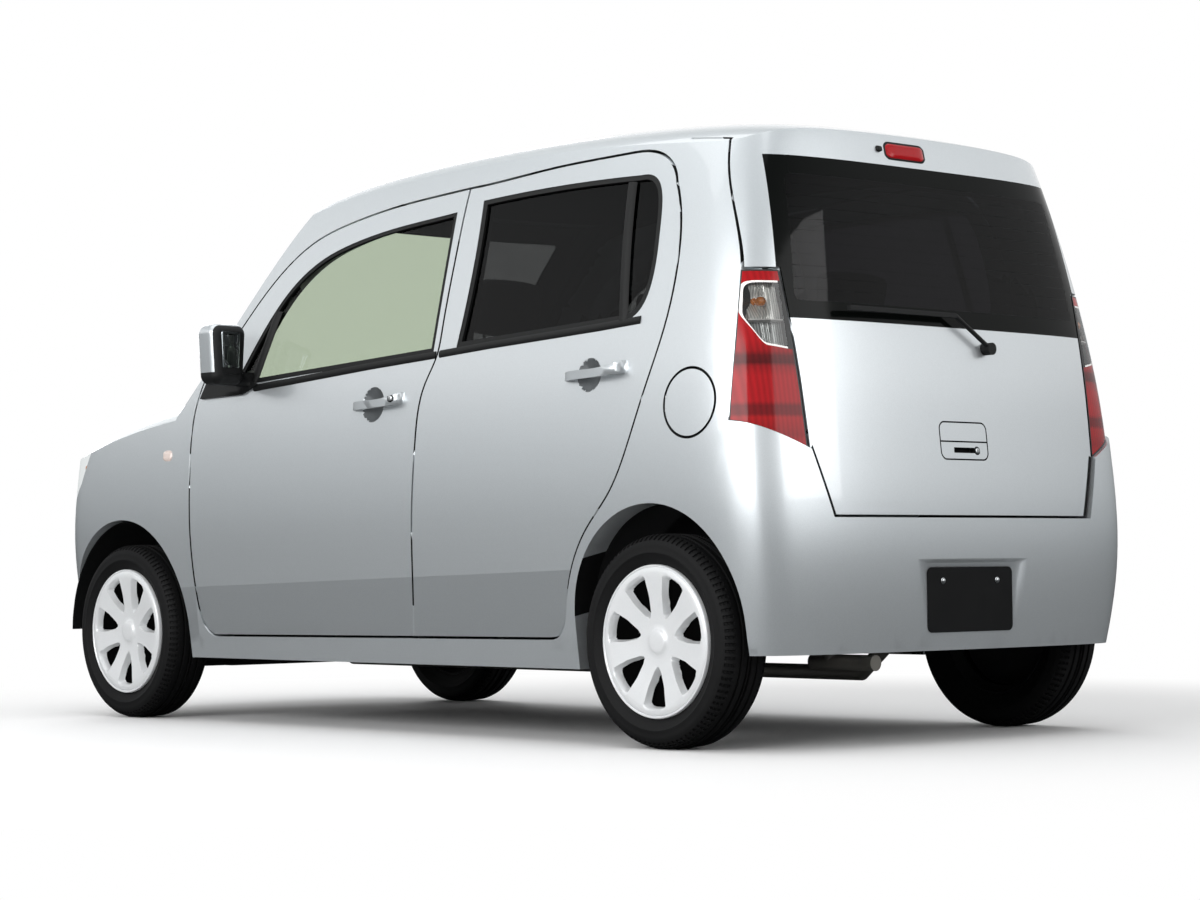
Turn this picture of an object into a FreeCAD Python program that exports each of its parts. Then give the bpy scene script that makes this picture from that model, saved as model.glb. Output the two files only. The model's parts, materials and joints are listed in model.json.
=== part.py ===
import FreeCAD, Part
import os
from FreeCAD import Vector

os.makedirs("parts", exist_ok=True)

# Driving dimensions of the whole car, in millimetres.
# X points forward, Y to the left and Z up, with the ground at zero.
WIDTH = 1475.0
HEIGHT = 1640.0
WHEELBASE = 2425.0
REAR_OVERHANG = 435.0
FRONT_OVERHANG = 535.0
FRONT_TRACK = 1295.0
REAR_TRACK = 1290.0

# Running clearances and cutting allowances.
SHUT_GAP = 7.0
SEAT_GAP = 0.3
OVERRUN = 400.0
SLIVER_VOLUME = 1000.0
PANEL_VOLUME = 200000.0

# Wall thicknesses of the body.
DOOR_WALL = 72.0
FRAME_WALL = 42.0
END_WALL = 55.0
ROOF_WALL = 36.0
PANEL_WALL = 22.0
GLASS_THICKNESS = 4.0
GLASS_INSET = 9.0

# Tyres and wheels.
TYRE_RADIUS = 270.0
TYRE_WIDTH = 155.0
RIM_RADIUS = 178.0

# Wheel arches.
REAR_ARCH_RADIUS = 300.0
REAR_ARCH_Z = 316.0
FRONT_ARCH_RADIUS = 345.0
FRONT_ARCH_Z = 272.0

# Heights of the underside.
SILL_Z = 194.0
BUMPER_Z = 238.0
FLOOR_Z = 212.0
FLOOR_SHEET = 24.0

LENGTH = REAR_OVERHANG + WHEELBASE + FRONT_OVERHANG
REAR_AXLE_X = REAR_OVERHANG - LENGTH / 2
FRONT_AXLE_X = REAR_AXLE_X + WHEELBASE
HALF_WIDTH = WIDTH / 2

# Rows of the outer body from the sill up, as shares of the height, the half width,
# the rear overhang and the front overhang.
BODY_ROW_SHARES = (
    (0.108, 0.945, 0.887, 0.850), (0.159, 0.960, 0.925, 0.930), (0.232, 0.979, 0.968, 0.985),
    (0.305, 0.994, 0.976, 1.003), (0.378, 1.001, 0.960, 0.997), (0.463, 0.997, 0.926, 0.960),
    (0.549, 0.984, 0.892, 0.930), (0.622, 0.964, 0.851, 0.910), (0.720, 0.926, 0.793, 0.900),
    (0.829, 0.869, 0.720, 0.890), (0.927, 0.806, 0.640, 0.890), (1.060, 0.700, 0.530, 0.890),
)
# The walls change from the door's to the frame's thickness over this stretch of the height.
BELT_FOOT_SHARE = 0.58
BELT_BLEND_SHARE = 0.08
# Poles of the plan outline: rear corner, flanks and nose corner. The first number is a share
# of the corner's length and the second a share of the half width at that row.
REAR_CORNER = 205.0
REAR_CORNER_SHARES = ((0.0, 0.42), (0.07, 0.74), (0.27, 0.965), (1.0, 0.995))
FLANK_SHARES = ((0.12, 1.0), (0.45, 1.0), (0.80, 1.0))
NOSE_CORNER = 340.0
NOSE_CORNER_SHARES = ((1.0, 0.997), (0.45, 0.955), (0.13, 0.66), (0.0, 0.34))

# Centre profiles of the upper surfaces, as shares of the wheelbase from the rear axle and of
# the height, and their cross sections as shares of a half width and of a shoulder drop.
ROOF_SHARES = (
    (1.320, 0.760), (1.050, 0.820), (0.880, 0.872), (0.804, 0.904), (0.722, 0.950),
    (0.639, 0.981), (0.495, 0.997), (0.330, 1.002), (0.165, 0.999), (0.041, 0.989),
    (-0.033, 0.979), (-0.082, 0.969), (-0.124, 0.952),
    (-0.173, 0.921), (-0.210, 0.890),
)
ROOF_HALF = 600.0
ROOF_SHOULDER = 100.0
ROOF_SECTION_SHARES = (
    (0.0, 0.0), (0.40, 0.03), (0.70, 0.12), (0.88, 0.34), (1.0, 0.86), (1.12, 1.7), (1.32, 2.9),
)
SCREEN_SHARES = (
    (0.985, 0.563), (0.944, 0.613), (0.858, 0.732), (0.775, 0.845), (0.718, 0.915),
    (0.660, 0.970), (0.598, 1.015), (0.500, 1.080), (0.200, 1.200), (-0.210, 1.300),
)
SCREEN_HALF = 640.0
SCREEN_BOW = 175.0
SCREEN_SECTION_SHARES = (
    (0.0, 0.0), (0.40, 0.06), (0.70, 0.28), (0.88, 0.62), (1.0, 1.0), (1.10, 1.4), (1.25, 1.9),
)
SCREEN_PANE_FOOT = 575.0
SCREEN_PANE_TOP = 490.0
SCREEN_TOP_UP_SHARE = 0.9421
SCREEN_BACK_ALONG_SHARE = 0.603
ROOF_PANEL_HALF = 520.0
BONNET_SHARES = (
    (0.780, 0.634), (0.860, 0.627), (0.930, 0.616), (1.000, 0.600), (1.070, 0.578),
    (1.140, 0.541), (1.192, 0.494), (1.222, 0.425), (1.250, 0.350),
)
BONNET_HALF = 745.0
BONNET_SHOULDER = 95.0
BONNET_SECTION_SHARES = (
    (0.0, 0.0), (0.35, 0.03), (0.65, 0.12), (0.84, 0.34), (0.95, 0.85), (1.06, 1.9),
)

# Shut lines in side view, as shares of the wheelbase from the rear axle and of the height.
PILLAR_LINE_SHARES = (
    (0.404, 0.166), (0.397, 0.243), (0.392, 0.360), (0.387, 0.494), (0.376, 0.586),
    (0.359, 0.634), (0.355, 0.680), (0.352, 0.796), (0.352, 0.917),
)
FRONT_DOOR_TOP_SHARES = (
    (0.352, 0.917), (0.479, 0.906), (0.570, 0.888), (0.640, 0.860), (0.690, 0.815),
    (0.740, 0.745), (0.822, 0.625),
)
FRONT_DOOR_NOSE_SHARES = (
    (0.822, 0.625), (0.837, 0.557), (0.8395, 0.465), (0.8390, 0.354), (0.837, 0.298),
    (0.832, 0.230), (0.822, 0.184), (0.800, 0.162),
)
REAR_DOOR_TOP_SHARES = (
    (0.352, 0.917), (0.200, 0.929), (0.090, 0.932), (0.045, 0.927), (0.018, 0.906),
    (0.003, 0.872),
)
REAR_DOOR_TAIL_SHARES = (
    (0.003, 0.872), (-0.016, 0.795), (-0.0195, 0.735), (-0.0136, 0.655), (0.0144, 0.534),
    (0.035, 0.4585), (0.060, 0.395), (0.098, 0.337), (0.1196, 0.290), (0.135, 0.228),
    (0.147, 0.180), (0.165, 0.168),
)
# Window openings of the doors in side view.
FRONT_PANE_SHARES = (
    ((0.366, 0.639), (0.363, 0.745), (0.366, 0.880)),
    ((0.366, 0.880), (0.480, 0.868), (0.560, 0.851), (0.615, 0.828), (0.665, 0.783),
     (0.700, 0.728), (0.757, 0.613)),
    ((0.757, 0.613), (0.366, 0.639)),
)
REAR_PANE_SHARES = (
    ((0.326, 0.642), (0.317, 0.745), (0.322, 0.893)),
    ((0.322, 0.893), (0.200, 0.898), (0.060, 0.894)),
    ((0.060, 0.894), (0.030, 0.880), (0.014, 0.800), (0.012, 0.745), (0.024, 0.680), (0.052, 0.659)),
    ((0.052, 0.659), (0.326, 0.642)),
)

# Rear end in side view.
GATE_LINE_SHARES = ((-0.040, 1.060), (-0.058, 0.941), (-0.064, 0.897), (-0.084, 0.817), (-0.104, 0.723))
LAMP_TOP_SHARE = 0.723
LAMP_FOOT_SHARE = 0.501
LAMP_HALF_TOP = 571.0
LAMP_HALF_FOOT = 552.0
LAMP_SIDE_SHARES = ((-0.104, 0.723), (-0.110, 0.615), (-0.111, 0.501))
GATE_KNEE_SHARE = 0.452
GATE_FOOT_SHARE = 0.350
GATE_HALF_FOOT = 498.0
REAR_BUMPER_SHARES = ((-0.063, 0.360), (-0.077, 0.423), (-0.093, 0.460), (-0.111, 0.501))
BUMPER_SWELL = 12.5
REAR_PANE_TOP_SHARE = 0.905
REAR_PANE_FOOT_SHARE = 0.650
REAR_PANE_HALF_TOP = 545.0
REAR_PANE_HALF_FOOT = 590.0
PANE_REBATE = 48.0

# Tailgate handle: a rounded plate in a groove, split across, with a finger slot below.
GATE_HANDLE_HALF = 93.0
GATE_HANDLE_MID = -5.0
GATE_HANDLE_UP_SHARE = 0.4707
GATE_HANDLE_TALL = 100.0
GATE_HANDLE_ROUND = 22.0
GATE_HANDLE_GROOVE = 4.0
GATE_HANDLE_DEPTH = 7.0
GATE_SPLIT_SHARE = 0.46
GATE_SLOT_HALF = 41.0
GATE_SLOT_TALL = 14.0
GATE_SLOT_SHARE = 0.19
GATE_SLOT_DEPTH = 18.0

# Number plate seat on the rear bumper, with flared sides.
PLATE_Z = 366.0
PLATE_HALF_WIDE = 172.0
PLATE_HALF_TALL = 92.0
PLATE_SEAT_DEPTH = 16.0
PLATE_FLARE_WIDE = 112.0
PLATE_FLARE_TALL = 30.0
PLATE_FLARE_RUN = 40.0
PLATE_BOLT_SPACING = 210.0
PLATE_BOLT_RISE = 48.0
PLATE_BOLT_RADIUS = 3.5
PLATE_BOLT_DEPTH = 20.0

# Rear wiper.
WIPER_ALONG_SHARE = -0.1516
WIPER_Y = -126.0
WIPER_UP_SHARE = 0.6189
WIPER_BOSS = 16.0
WIPER_ARM = 6.0
WIPER_ROOT_SHARE = 1.5
BLADE_UP_SHARE = 0.6683
BLADE_LENGTH = 400.0

# Bonnet, cowl and the cowl's rests under the bonnet.
BONNET_HALF_REAR = 590.0
BONNET_HALF_NOSE = 520.0
BONNET_HINGE_ALONG_SHARE = 0.8979
BONNET_BOW = 120.0
BONNET_EDGE_UP_SHARE = 0.4561
COWL_REST_Y = 250.0
COWL_REST_HALF = 15.0
COWL_REST_BACK = 50.0
COWL_REST_LONG = 105.0
COWL_REST_FOOT = 20.0
COWL_REST_TALL = 30.0

# Headlamps, front bumper, upper grille and lower intake.
HEADLAMP_SHARES = (
    (1.050, 0.585), (1.110, 0.450), (1.150, 0.402), (1.300, 0.402), (1.300, 0.490), (1.180, 0.560),
)
FRONT_BUMPER_SHARES = ((1.072, 0.345), (1.115, 0.402), (1.150, 0.402))
GRILLE_HALF = 335.0
GRILLE_UP_SHARE = 0.3994
GRILLE_ROWS = 3
INTAKE_HALF = 430.0
INTAKE_LOW_UP_SHARE = 0.1939
INTAKE_HIGH_UP_SHARE = 0.2622
INTAKE_SLATS = 3
SLAT = 12.0
SLAT_DEPTH = 30.0

# Fuel lid, its barrel and the two lugs that carry it in the pocket.
LID_RADIUS = 83.0
LID_ALONG_SHARE = -0.0575
LID_UP_SHARE = 0.5256
LID_SHEET = 6.0
POCKET_DEPTH = 45.0
LID_HINGE_Y = 722.4
LID_BARREL_RADIUS = 3.0
LID_BARREL_HALF = 12.0
LID_LUG_TALL = 8.0

# Front door hinges: a rounded knuckle on the door against a hollowed leaf on the pillar.
DOOR_HINGE_ALONG_SHARE = 0.8155
DOOR_HINGE_Y = 720.0
HINGE_UP_SHARES = (0.366, 0.482)
HINGE_HALF_TALL = 20.0
HINGE_SINK = 8.0
HINGE_WIDE = 40.0

# Door handles: outlines in side view and plan view. The first number of a pair is a share of the
# length from the front end, and the second one of the height or of the stand-off.
HANDLE_LENGTH = 223.0
HANDLE_HEIGHT = 31.0
HANDLE_STAND = 30.0
HANDLE_SINK = 10.0
HANDLE_Y = 722.0
HANDLE_LOW_SHARES = ((1.0, -0.26), (0.855, -0.39), (0.45, -0.55), (0.0, -0.61))
HANDLE_HIGH_SHARES = ((0.0, 0.0), (0.45, 0.18), (0.855, 0.42), (1.0, 0.74))
HANDLE_OUT_SHARES = (
    (0.0, 0.10), (0.08, 0.62), (0.30, 0.90), (0.55, 1.0), (0.80, 0.95), (0.94, 0.72), (1.0, 0.20),
)
HANDLE_IN_SHARES = ((0.86, 0.0), (0.80, 0.36), (0.50, 0.50), (0.20, 0.36), (0.14, 0.0))
FRONT_HANDLE_ALONG_SHARE = 0.505
FRONT_HANDLE_UP_SHARE = 0.5628
REAR_HANDLE_ALONG_SHARE = 0.131
REAR_HANDLE_UP_SHARE = 0.5835
CUP_MOUTH = 50.0
CUP_DEPTH = 20.0
CUP_PLACE_SHARE = 0.39

# Door mirrors: the base on the door's corner, the arm and the shell, which narrows downwards.
MIRROR_BASE_SHARES = ((0.824, 0.595), (0.808, 0.638), (0.780, 0.648), (0.703, 0.613), (0.735, 0.597))
MIRROR_BASE_SHEET = 9.0
MIRROR_ALONG_SHARE = 0.7268
MIRROR_Y = 805.0
MIRROR_UP_SHARE = 0.666
MIRROR_LENGTH = 95.0
MIRROR_HALF_TOP = 65.0
MIRROR_HALF_FOOT = 54.0
MIRROR_TALL = 180.0
MIRROR_ROUND = 30.0
MIRROR_ARM_HALF = 24.0
MIRROR_ARM_TALL = 40.0
MIRROR_ROOT = 60.0

# Posts between the doors.
POST_DEPTH = 42.0
POST_WIDTH = 70.0
POST_SHIFT = 14.0

# Floor, bulkhead, wheel tubs and the bracket that carries the dashboard.
BULKHEAD_ALONG_SHARE = 0.8472
REAR_FLOOR_ALONG_SHARE = 0.1495
REAR_FLOOR_Z = 400.0
TUB_Y = 470.0
DASH_BRACKET_HALF = 200.0
DASH_BRACKET_LOW_UP_SHARE = 0.4634
DASH_BRACKET_HIGH_UP_SHARE = 0.5366

# Tyre section.
TYRE_WAIST = 224.0
TYRE_SHOULDER = 16.0
BEAD_SHARE = 0.72
SHOULDER_SHARE = 0.93
TREAD_SHARE = 0.70

# Rims, hubs and wheel covers.
RIM_SHEET = 7.0
RIM_LIP_SHARE = 1.5
DISC_OFFSET = 30.0
HUB_RADIUS = 30.0
WHEEL_BORE_LENGTH = 60.0
WHEEL_COVER_RADIUS = 193.0
COVER_INSET = 5.0
COVER_DISH = 16.0
COVER_DISH_SHARE = 0.6
COVER_KNEE_SHARE = 0.55
COVER_EDGE_SHARE = 0.86
COVER_RIM = 6.0
COVER_SHEET = 4.0
SPOKES = 7
HOLE_SMALL = 9.0
HOLE_LARGE = 34.0
HOLE_IN = 62.0
HOLE_OUT = 146.0

# Steered knuckles: stub axle, strut and spring.
STUB_RADIUS = 16.0
STUB_GAP = 0.05
STUB_END = 4.0
KINGPIN_Y = 545.0
KNUCKLE_FOOT = 190.0
STRUT_RADIUS = 19.0
STRUT_TOP_UP_SHARE = 0.4878
SPRING_RADIUS = 62.0
SPRING_LENGTH = 230.0

# Front subframe and engine.
LOWER_ARM_RADIUS = 19.0
TOWER_HALF = 100.0
RAIL_Y = 300.0
RAIL_WIDE = 50.0
RAIL_Z = 330.0
RAIL_TALL = 80.0
ENGINE_ALONG_SHARE = 0.9165
ENGINE_LONG = 430.0
ENGINE_TOP_UP_SHARE = 0.5

# Towing eye on the front subframe.
TOW_EYE_Y = 240.0
TOW_EYE_RADIUS = 15.0
TOW_EYE_OUT = 34.0
TOW_EYE_SHEET = 14.0
TOW_EYE_DROP = 125.0
TOW_EYE_BACK = 25.0

# Rear axle.
BEAM_RADIUS = 34.0
BEAM_AHEAD = 190.0
BEAM_HALF = 430.0
ARM_AHEAD = 120.0

# Exhaust.
SILENCER_RADIUS = 66.0
SILENCER_ALONG_SHARE = -0.098
SILENCER_Z = 300.0
SILENCER_LOW_Y = -20.0
SILENCER_HIGH_Y = 390.0
PIPE_RADIUS = 20.0
PIPE_Z = 172.0
DOWNPIPE_RUN = 90.0
TAILPIPE_Z = 212.0
TAILPIPE_REACH = 150.0
HANGER = 20.0

# Dashboard and steering wheel.
DASH_SHARES = ((0.742, 0.500), (0.735, 0.555), (0.760, 0.600), (0.832, 0.600), (0.832, 0.440), (0.790, 0.430))
DASH_HALF = 600.0
DRIVER_Y = -330.0
COLUMN_LENGTH = 110.0
COLUMN_LEAN_SHARE = 0.45
WHEEL_RING = 178.0
WHEEL_GRIP = 14.0

# Seats.
SEAT_Z = 470.0
SEAT_TOP_Z = 610.0
SEAT_BACK_Z = 1130.0
HEADREST_Z = 1290.0
SEAT_LONG = 440.0
SEAT_BACK = 110.0
SEAT_DIP = 30.0
SEAT_RAKE = 130.0
HEADREST_HALF = 130.0
FRONT_SEAT_ALONG_SHARE = 0.5041
FRONT_SEAT_Y = 325.0
FRONT_SEAT_HALF = 240.0
REAR_SEAT_ALONG_SHARE = 0.1949
REAR_BENCH_HALF = 560.0
RISER_INSET = 60.0


def along(share):
    """A place along the car, from a share of the wheelbase ahead of the rear axle."""
    return REAR_AXLE_X + share * WHEELBASE


def up(share):
    """A height over the ground, from a share of the whole height."""
    return share * HEIGHT


# Places that follow the wheelbase.
SCREEN_BACK_X = along(SCREEN_BACK_ALONG_SHARE)
BONNET_HINGE_X = along(BONNET_HINGE_ALONG_SHARE)
WIPER_X = along(WIPER_ALONG_SHARE)
LID_X = along(LID_ALONG_SHARE)
DOOR_HINGE_X = along(DOOR_HINGE_ALONG_SHARE)
MIRROR_X = along(MIRROR_ALONG_SHARE)
BULKHEAD_X = along(BULKHEAD_ALONG_SHARE)
REAR_FLOOR_X = along(REAR_FLOOR_ALONG_SHARE)
ENGINE_X = along(ENGINE_ALONG_SHARE)
SILENCER_X = along(SILENCER_ALONG_SHARE)
FRONT_SEAT_X = along(FRONT_SEAT_ALONG_SHARE)
REAR_SEAT_X = along(REAR_SEAT_ALONG_SHARE)

# Places that follow the height.
SCREEN_TOP_Z = up(SCREEN_TOP_UP_SHARE)
BONNET_EDGE_Z = up(BONNET_EDGE_UP_SHARE)
GRILLE_Z = up(GRILLE_UP_SHARE)
INTAKE_LOW_Z = up(INTAKE_LOW_UP_SHARE)
INTAKE_HIGH_Z = up(INTAKE_HIGH_UP_SHARE)
WIPER_Z = up(WIPER_UP_SHARE)
BLADE_Z = up(BLADE_UP_SHARE)
LID_Z = up(LID_UP_SHARE)
MIRROR_Z = up(MIRROR_UP_SHARE)
STRUT_TOP = up(STRUT_TOP_UP_SHARE)
ENGINE_TOP = up(ENGINE_TOP_UP_SHARE)
DASH_BRACKET_LOW = up(DASH_BRACKET_LOW_UP_SHARE)
DASH_BRACKET_HIGH = up(DASH_BRACKET_HIGH_UP_SHARE)


def places(shares, shift=0.0, lift=0.0):
    """Side view places, in millimetres, from shares of the wheelbase and the height."""
    return [(along(pair[0]) + shift, up(pair[1]) + lift) for pair in shares]


def knots_for(count, degree):
    """Knots and multiplicities of a clamped curve with this many poles."""
    spans = count - degree
    mults = [degree + 1] + [1] * (spans - 1) + [degree + 1]
    return [float(i) for i in range(spans + 1)], mults


def body_tower(low=0.0, high=0.0, ends=0.0, swell=0.0):
    """The body's flanks, tail and nose as one closed smooth wall, moved inwards by the insets."""
    rows = []
    for height, wide, tail, nose in BODY_ROW_SHARES:
        mix = min(max((height - BELT_FOOT_SHARE) / BELT_BLEND_SHARE, 0.0), 1.0)
        half = wide * HALF_WIDTH - low * (1.0 - mix) - high * mix
        tail_x = REAR_AXLE_X - tail * REAR_OVERHANG + ends - swell
        nose_x = FRONT_AXLE_X + nose * FRONT_OVERHANG - ends
        side = [(tail_x, 0.0)]
        side += [(tail_x + run * REAR_CORNER, part * half) for run, part in REAR_CORNER_SHARES]
        side += [(along(run), part * half) for run, part in FLANK_SHARES]
        side += [(nose_x - run * NOSE_CORNER, part * half) for run, part in NOSE_CORNER_SHARES]
        side += [(nose_x, 0.0)]
        ring = [(x, y) for x, y in side] + [(x, -y) for x, y in side[-2:0:-1]]
        rows.append([Vector(x, y, up(height)) for x, y in ring])
    count = len(rows[0])
    poles = [[row[i] for row in rows] for i in range(count)]
    round_knots = [float(i) for i in range(count + 1)]
    knots, mults = knots_for(len(rows), 3)
    skin = Part.BSplineSurface()
    skin.buildFromPolesMultsKnots(poles, [1] * (count + 1), mults, round_knots, knots, True, False, 3, 3)
    wall = skin.toShape()
    caps = []
    for edge in wall.Edges:
        box = edge.BoundBox
        if box.ZLength < SEAT_GAP and box.XLength > HALF_WIDTH:
            caps.append(Part.Face(Part.Wire([edge])))
    shell = Part.makeShell([wall] + caps)
    shell.sewShape()
    return Part.makeSolid(shell)


def lid(shares, section, half, drop, bow=0.0, inset=(0.0, 0.0)):
    """Everything below a smooth upper surface with a crowned cross section."""
    sides = [(-y, fall) for y, fall in section[:0:-1]] + list(section)
    poles = []
    for x, z in places(shares, inset[0], inset[1]):
        poles.append([Vector(x - fall * bow, y * half, z - fall * drop) for y, fall in sides])
    u_knots, u_mults = knots_for(len(poles), 3)
    v_knots, v_mults = knots_for(len(sides), 3)
    skin = Part.BSplineSurface()
    skin.buildFromPolesMultsKnots(poles, u_mults, v_mults, u_knots, v_knots, False, False, 3, 3)
    return skin.toShape().extrude(Vector(0, 0, -LENGTH))


def run_edge(points, place):
    """A straight edge through two places, or a smooth one through more."""
    spots = [place(point) for point in points]
    if len(spots) == 2:
        return Part.makeLine(spots[0], spots[1])
    curve = Part.BSplineCurve()
    curve.interpolate(spots)
    return curve.toShape()


def grown(runs, amount):
    """An outline moved outwards by an amount on every side."""
    every = [point for run in runs for point in run]
    wide = [point[0] for point in every]
    tall = [point[1] for point in every]
    mid = ((min(wide) + max(wide)) / 2, (min(tall) + max(tall)) / 2)
    grow_x = 1.0 + 2 * amount / (max(wide) - min(wide))
    grow_z = 1.0 + 2 * amount / (max(tall) - min(tall))
    moved = []
    for run in runs:
        moved.append([(mid[0] + (x - mid[0]) * grow_x, mid[1] + (z - mid[1]) * grow_z) for x, z in run])
    return moved


def side_prism(runs, y_low, y_high):
    """A prism across the car with an outline in side view."""
    edges = [run_edge(run, lambda p: Vector(p[0], y_low, p[1])) for run in runs]
    return Part.Face(Part.Wire(edges)).extrude(Vector(0, y_high - y_low, 0))


def rear_prism(runs, x_low, x_high):
    """A prism along the car with an outline in rear view."""
    edges = [run_edge(run, lambda p: Vector(x_low, p[0], p[1])) for run in runs]
    return Part.Face(Part.Wire(edges)).extrude(Vector(x_high - x_low, 0, 0))


def plan_prism(runs, z_low, z_high):
    """A prism upwards with an outline in plan view."""
    edges = [run_edge(run, lambda p: Vector(p[0], p[1], z_low)) for run in runs]
    return Part.Face(Part.Wire(edges)).extrude(Vector(0, 0, z_high - z_low))


def polygon(points):
    """Straight runs round a closed list of places."""
    return [[points[i], points[(i + 1) % len(points)]] for i in range(len(points))]


def block(x_low, x_high, y_low, y_high, z_low, z_high):
    """A box between two places on each axis."""
    return Part.makeBox(x_high - x_low, y_high - y_low, z_high - z_low, Vector(x_low, y_low, z_low))


def drum(radius, x, z, y_low, y_high):
    """A cylinder across the car."""
    return Part.makeCylinder(radius, y_high - y_low, Vector(x, y_low, z), Vector(0, 1, 0))


def mirrored(shape):
    """The same shape on the other side of the car."""
    return shape.mirror(Vector(0, 0, 0), Vector(0, 1, 0))


def arch(radius, x, z, y_low, y_high):
    """A wheel arch: round above its centre and straight below it."""
    legs = block(x - radius, x + radius, y_low, y_high, -OVERRUN, z)
    return drum(radius, x, z, y_low, y_high).fuse(legs)


def keep_solids(shape, least=SLIVER_VOLUME):
    """The solids of a cut, without slivers."""
    good = [solid for solid in shape.Solids if solid.Volume > least]
    return good[0] if len(good) == 1 else Part.makeCompound(good)


def save(name, shape):
    """Write one sub-part."""
    shape.exportStep("parts/" + name + ".step")


# Whole-body surfaces that every panel is cut from.
outer = body_tower()
inner = body_tower(DOOR_WALL, FRAME_WALL, END_WALL)
swollen = body_tower(swell=BUMPER_SWELL)
roof_lid = lid(ROOF_SHARES, ROOF_SECTION_SHARES, ROOF_HALF, ROOF_SHOULDER)
roof_lid_in = lid(ROOF_SHARES, ROOF_SECTION_SHARES, ROOF_HALF, ROOF_SHOULDER, 0.0, (0.0, -ROOF_WALL))
screen_lid = lid(SCREEN_SHARES, SCREEN_SECTION_SHARES, SCREEN_HALF, 0.0, SCREEN_BOW)
screen_lid_in = lid(SCREEN_SHARES, SCREEN_SECTION_SHARES, SCREEN_HALF, 0.0, SCREEN_BOW,
                    (-ROOF_WALL, -ROOF_WALL))
bonnet_lid = lid(BONNET_SHARES, BONNET_SECTION_SHARES, BONNET_HALF, BONNET_SHOULDER)
bonnet_lid_in = lid(BONNET_SHARES, BONNET_SECTION_SHARES, BONNET_HALF, BONNET_SHOULDER, 0.0,
                    (0.0, -PANEL_WALL))

cabin_solid = outer.common(roof_lid).common(screen_lid)
cabin_in = inner.common(roof_lid_in).common(screen_lid_in)
cabin_shell = cabin_solid.cut(cabin_in)
front_solid = outer.common(bonnet_lid)
front_shell = front_solid.cut(inner.common(bonnet_lid_in))

# Outlines in side view, as places in millimetres.
HALF_GAP = SHUT_GAP / 2
pillar_front = places(PILLAR_LINE_SHARES, HALF_GAP)
pillar_rear = places(PILLAR_LINE_SHARES, -HALF_GAP)
front_top = [pillar_front[-1]] + places(FRONT_DOOR_TOP_SHARES[1:])
front_nose = places(FRONT_DOOR_NOSE_SHARES)
front_door_runs = [pillar_front, front_top, front_nose, [front_nose[-1], pillar_front[0]]]
rear_top = [pillar_rear[-1]] + places(REAR_DOOR_TOP_SHARES[1:])
rear_tail = places(REAR_DOOR_TAIL_SHARES)
rear_door_runs = [pillar_rear, rear_top, rear_tail, [rear_tail[-1], pillar_rear[0]]]
front_pane_runs = [places(run) for run in FRONT_PANE_SHARES]
rear_pane_runs = [places(run) for run in REAR_PANE_SHARES]

# The side apertures are the door outlines with the shut gap all round.
BELOW_BODY = -OVERRUN
apertures = side_prism(grown(front_door_runs, SHUT_GAP), 0.0, WIDTH)
apertures = apertures.fuse(side_prism(grown(rear_door_runs, SHUT_GAP), 0.0, WIDTH))
arches = arch(REAR_ARCH_RADIUS, REAR_AXLE_X, REAR_ARCH_Z, -WIDTH, WIDTH)
arches = arches.fuse(arch(FRONT_ARCH_RADIUS, FRONT_AXLE_X, FRONT_ARCH_Z, -WIDTH, WIDTH))
under_sill = block(-LENGTH, LENGTH, -WIDTH, WIDTH, BELOW_BODY, SILL_Z)

# Doors, their glass and their handles: the wall inside each outline, windows cut through.
left_half = block(-LENGTH, LENGTH, HALF_WIDTH / 2, WIDTH, BELOW_BODY, 2 * HEIGHT)
wall = outer.cut(inner).common(left_half)
glass_wall = body_tower(GLASS_INSET, GLASS_INSET, GLASS_INSET)
glass_back = GLASS_INSET + GLASS_THICKNESS
glass_wall = glass_wall.cut(body_tower(glass_back, glass_back, glass_back)).common(left_half)


def door_handle(x, z):
    """A pull handle that rises and thickens to the rear, bowed off the skin between its two ends."""
    low = [(x - run * HANDLE_LENGTH, z + part * HANDLE_HEIGHT) for run, part in HANDLE_LOW_SHARES]
    high = [(x - run * HANDLE_LENGTH, z + part * HANDLE_HEIGHT) for run, part in HANDLE_HIGH_SHARES]
    profile = side_prism([low, [low[-1], high[0]], high, [high[-1], low[0]]], 0.0, WIDTH)
    out = [(x - run * HANDLE_LENGTH, HANDLE_Y + part * HANDLE_STAND) for run, part in HANDLE_OUT_SHARES]
    hollow = [(x - run * HANDLE_LENGTH, HANDLE_Y + part * HANDLE_STAND) for run, part in HANDLE_IN_SHARES]
    sunk_y = HANDLE_Y - HANDLE_SINK
    sunk = [(out[-1][0], sunk_y), (hollow[0][0], sunk_y), (hollow[-1][0], sunk_y), (out[0][0], sunk_y)]
    plan = [out, [out[-1], sunk[0]], [sunk[0], sunk[1]], [sunk[1], hollow[0]], hollow]
    plan += [[hollow[-1], sunk[2]], [sunk[2], sunk[3]], [sunk[3], out[0]]]
    return profile.common(plan_prism(plan, 0.0, HEIGHT))


edge_x = max(point[0] for point in front_nose)
knuckle_radius = Vector(edge_x - DOOR_HINGE_X, HALF_WIDTH - DOOR_HINGE_Y, 0).Length


def hinge_pieces(x_low, x_high, radius):
    """For each hinge height, a block by the skin and the drum about the hinge line."""
    pieces = []
    skin_y = HALF_WIDTH - HINGE_SINK
    for z in (up(share) for share in HINGE_UP_SHARES):
        piece = block(x_low, x_high, skin_y - HINGE_WIDE, skin_y, z - HINGE_HALF_TALL, z + HINGE_HALF_TALL)
        foot = Vector(DOOR_HINGE_X, DOOR_HINGE_Y, z - 2 * HINGE_HALF_TALL)
        pieces.append((piece, Part.makeCylinder(radius, 4 * HINGE_HALF_TALL, foot)))
    return pieces


def door_knuckles():
    """Rounded knuckles at the front edge of the front door."""
    pairs = hinge_pieces(DOOR_HINGE_X, 2 * edge_x, knuckle_radius)
    return [piece.common(round_part) for piece, round_part in pairs]


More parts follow.
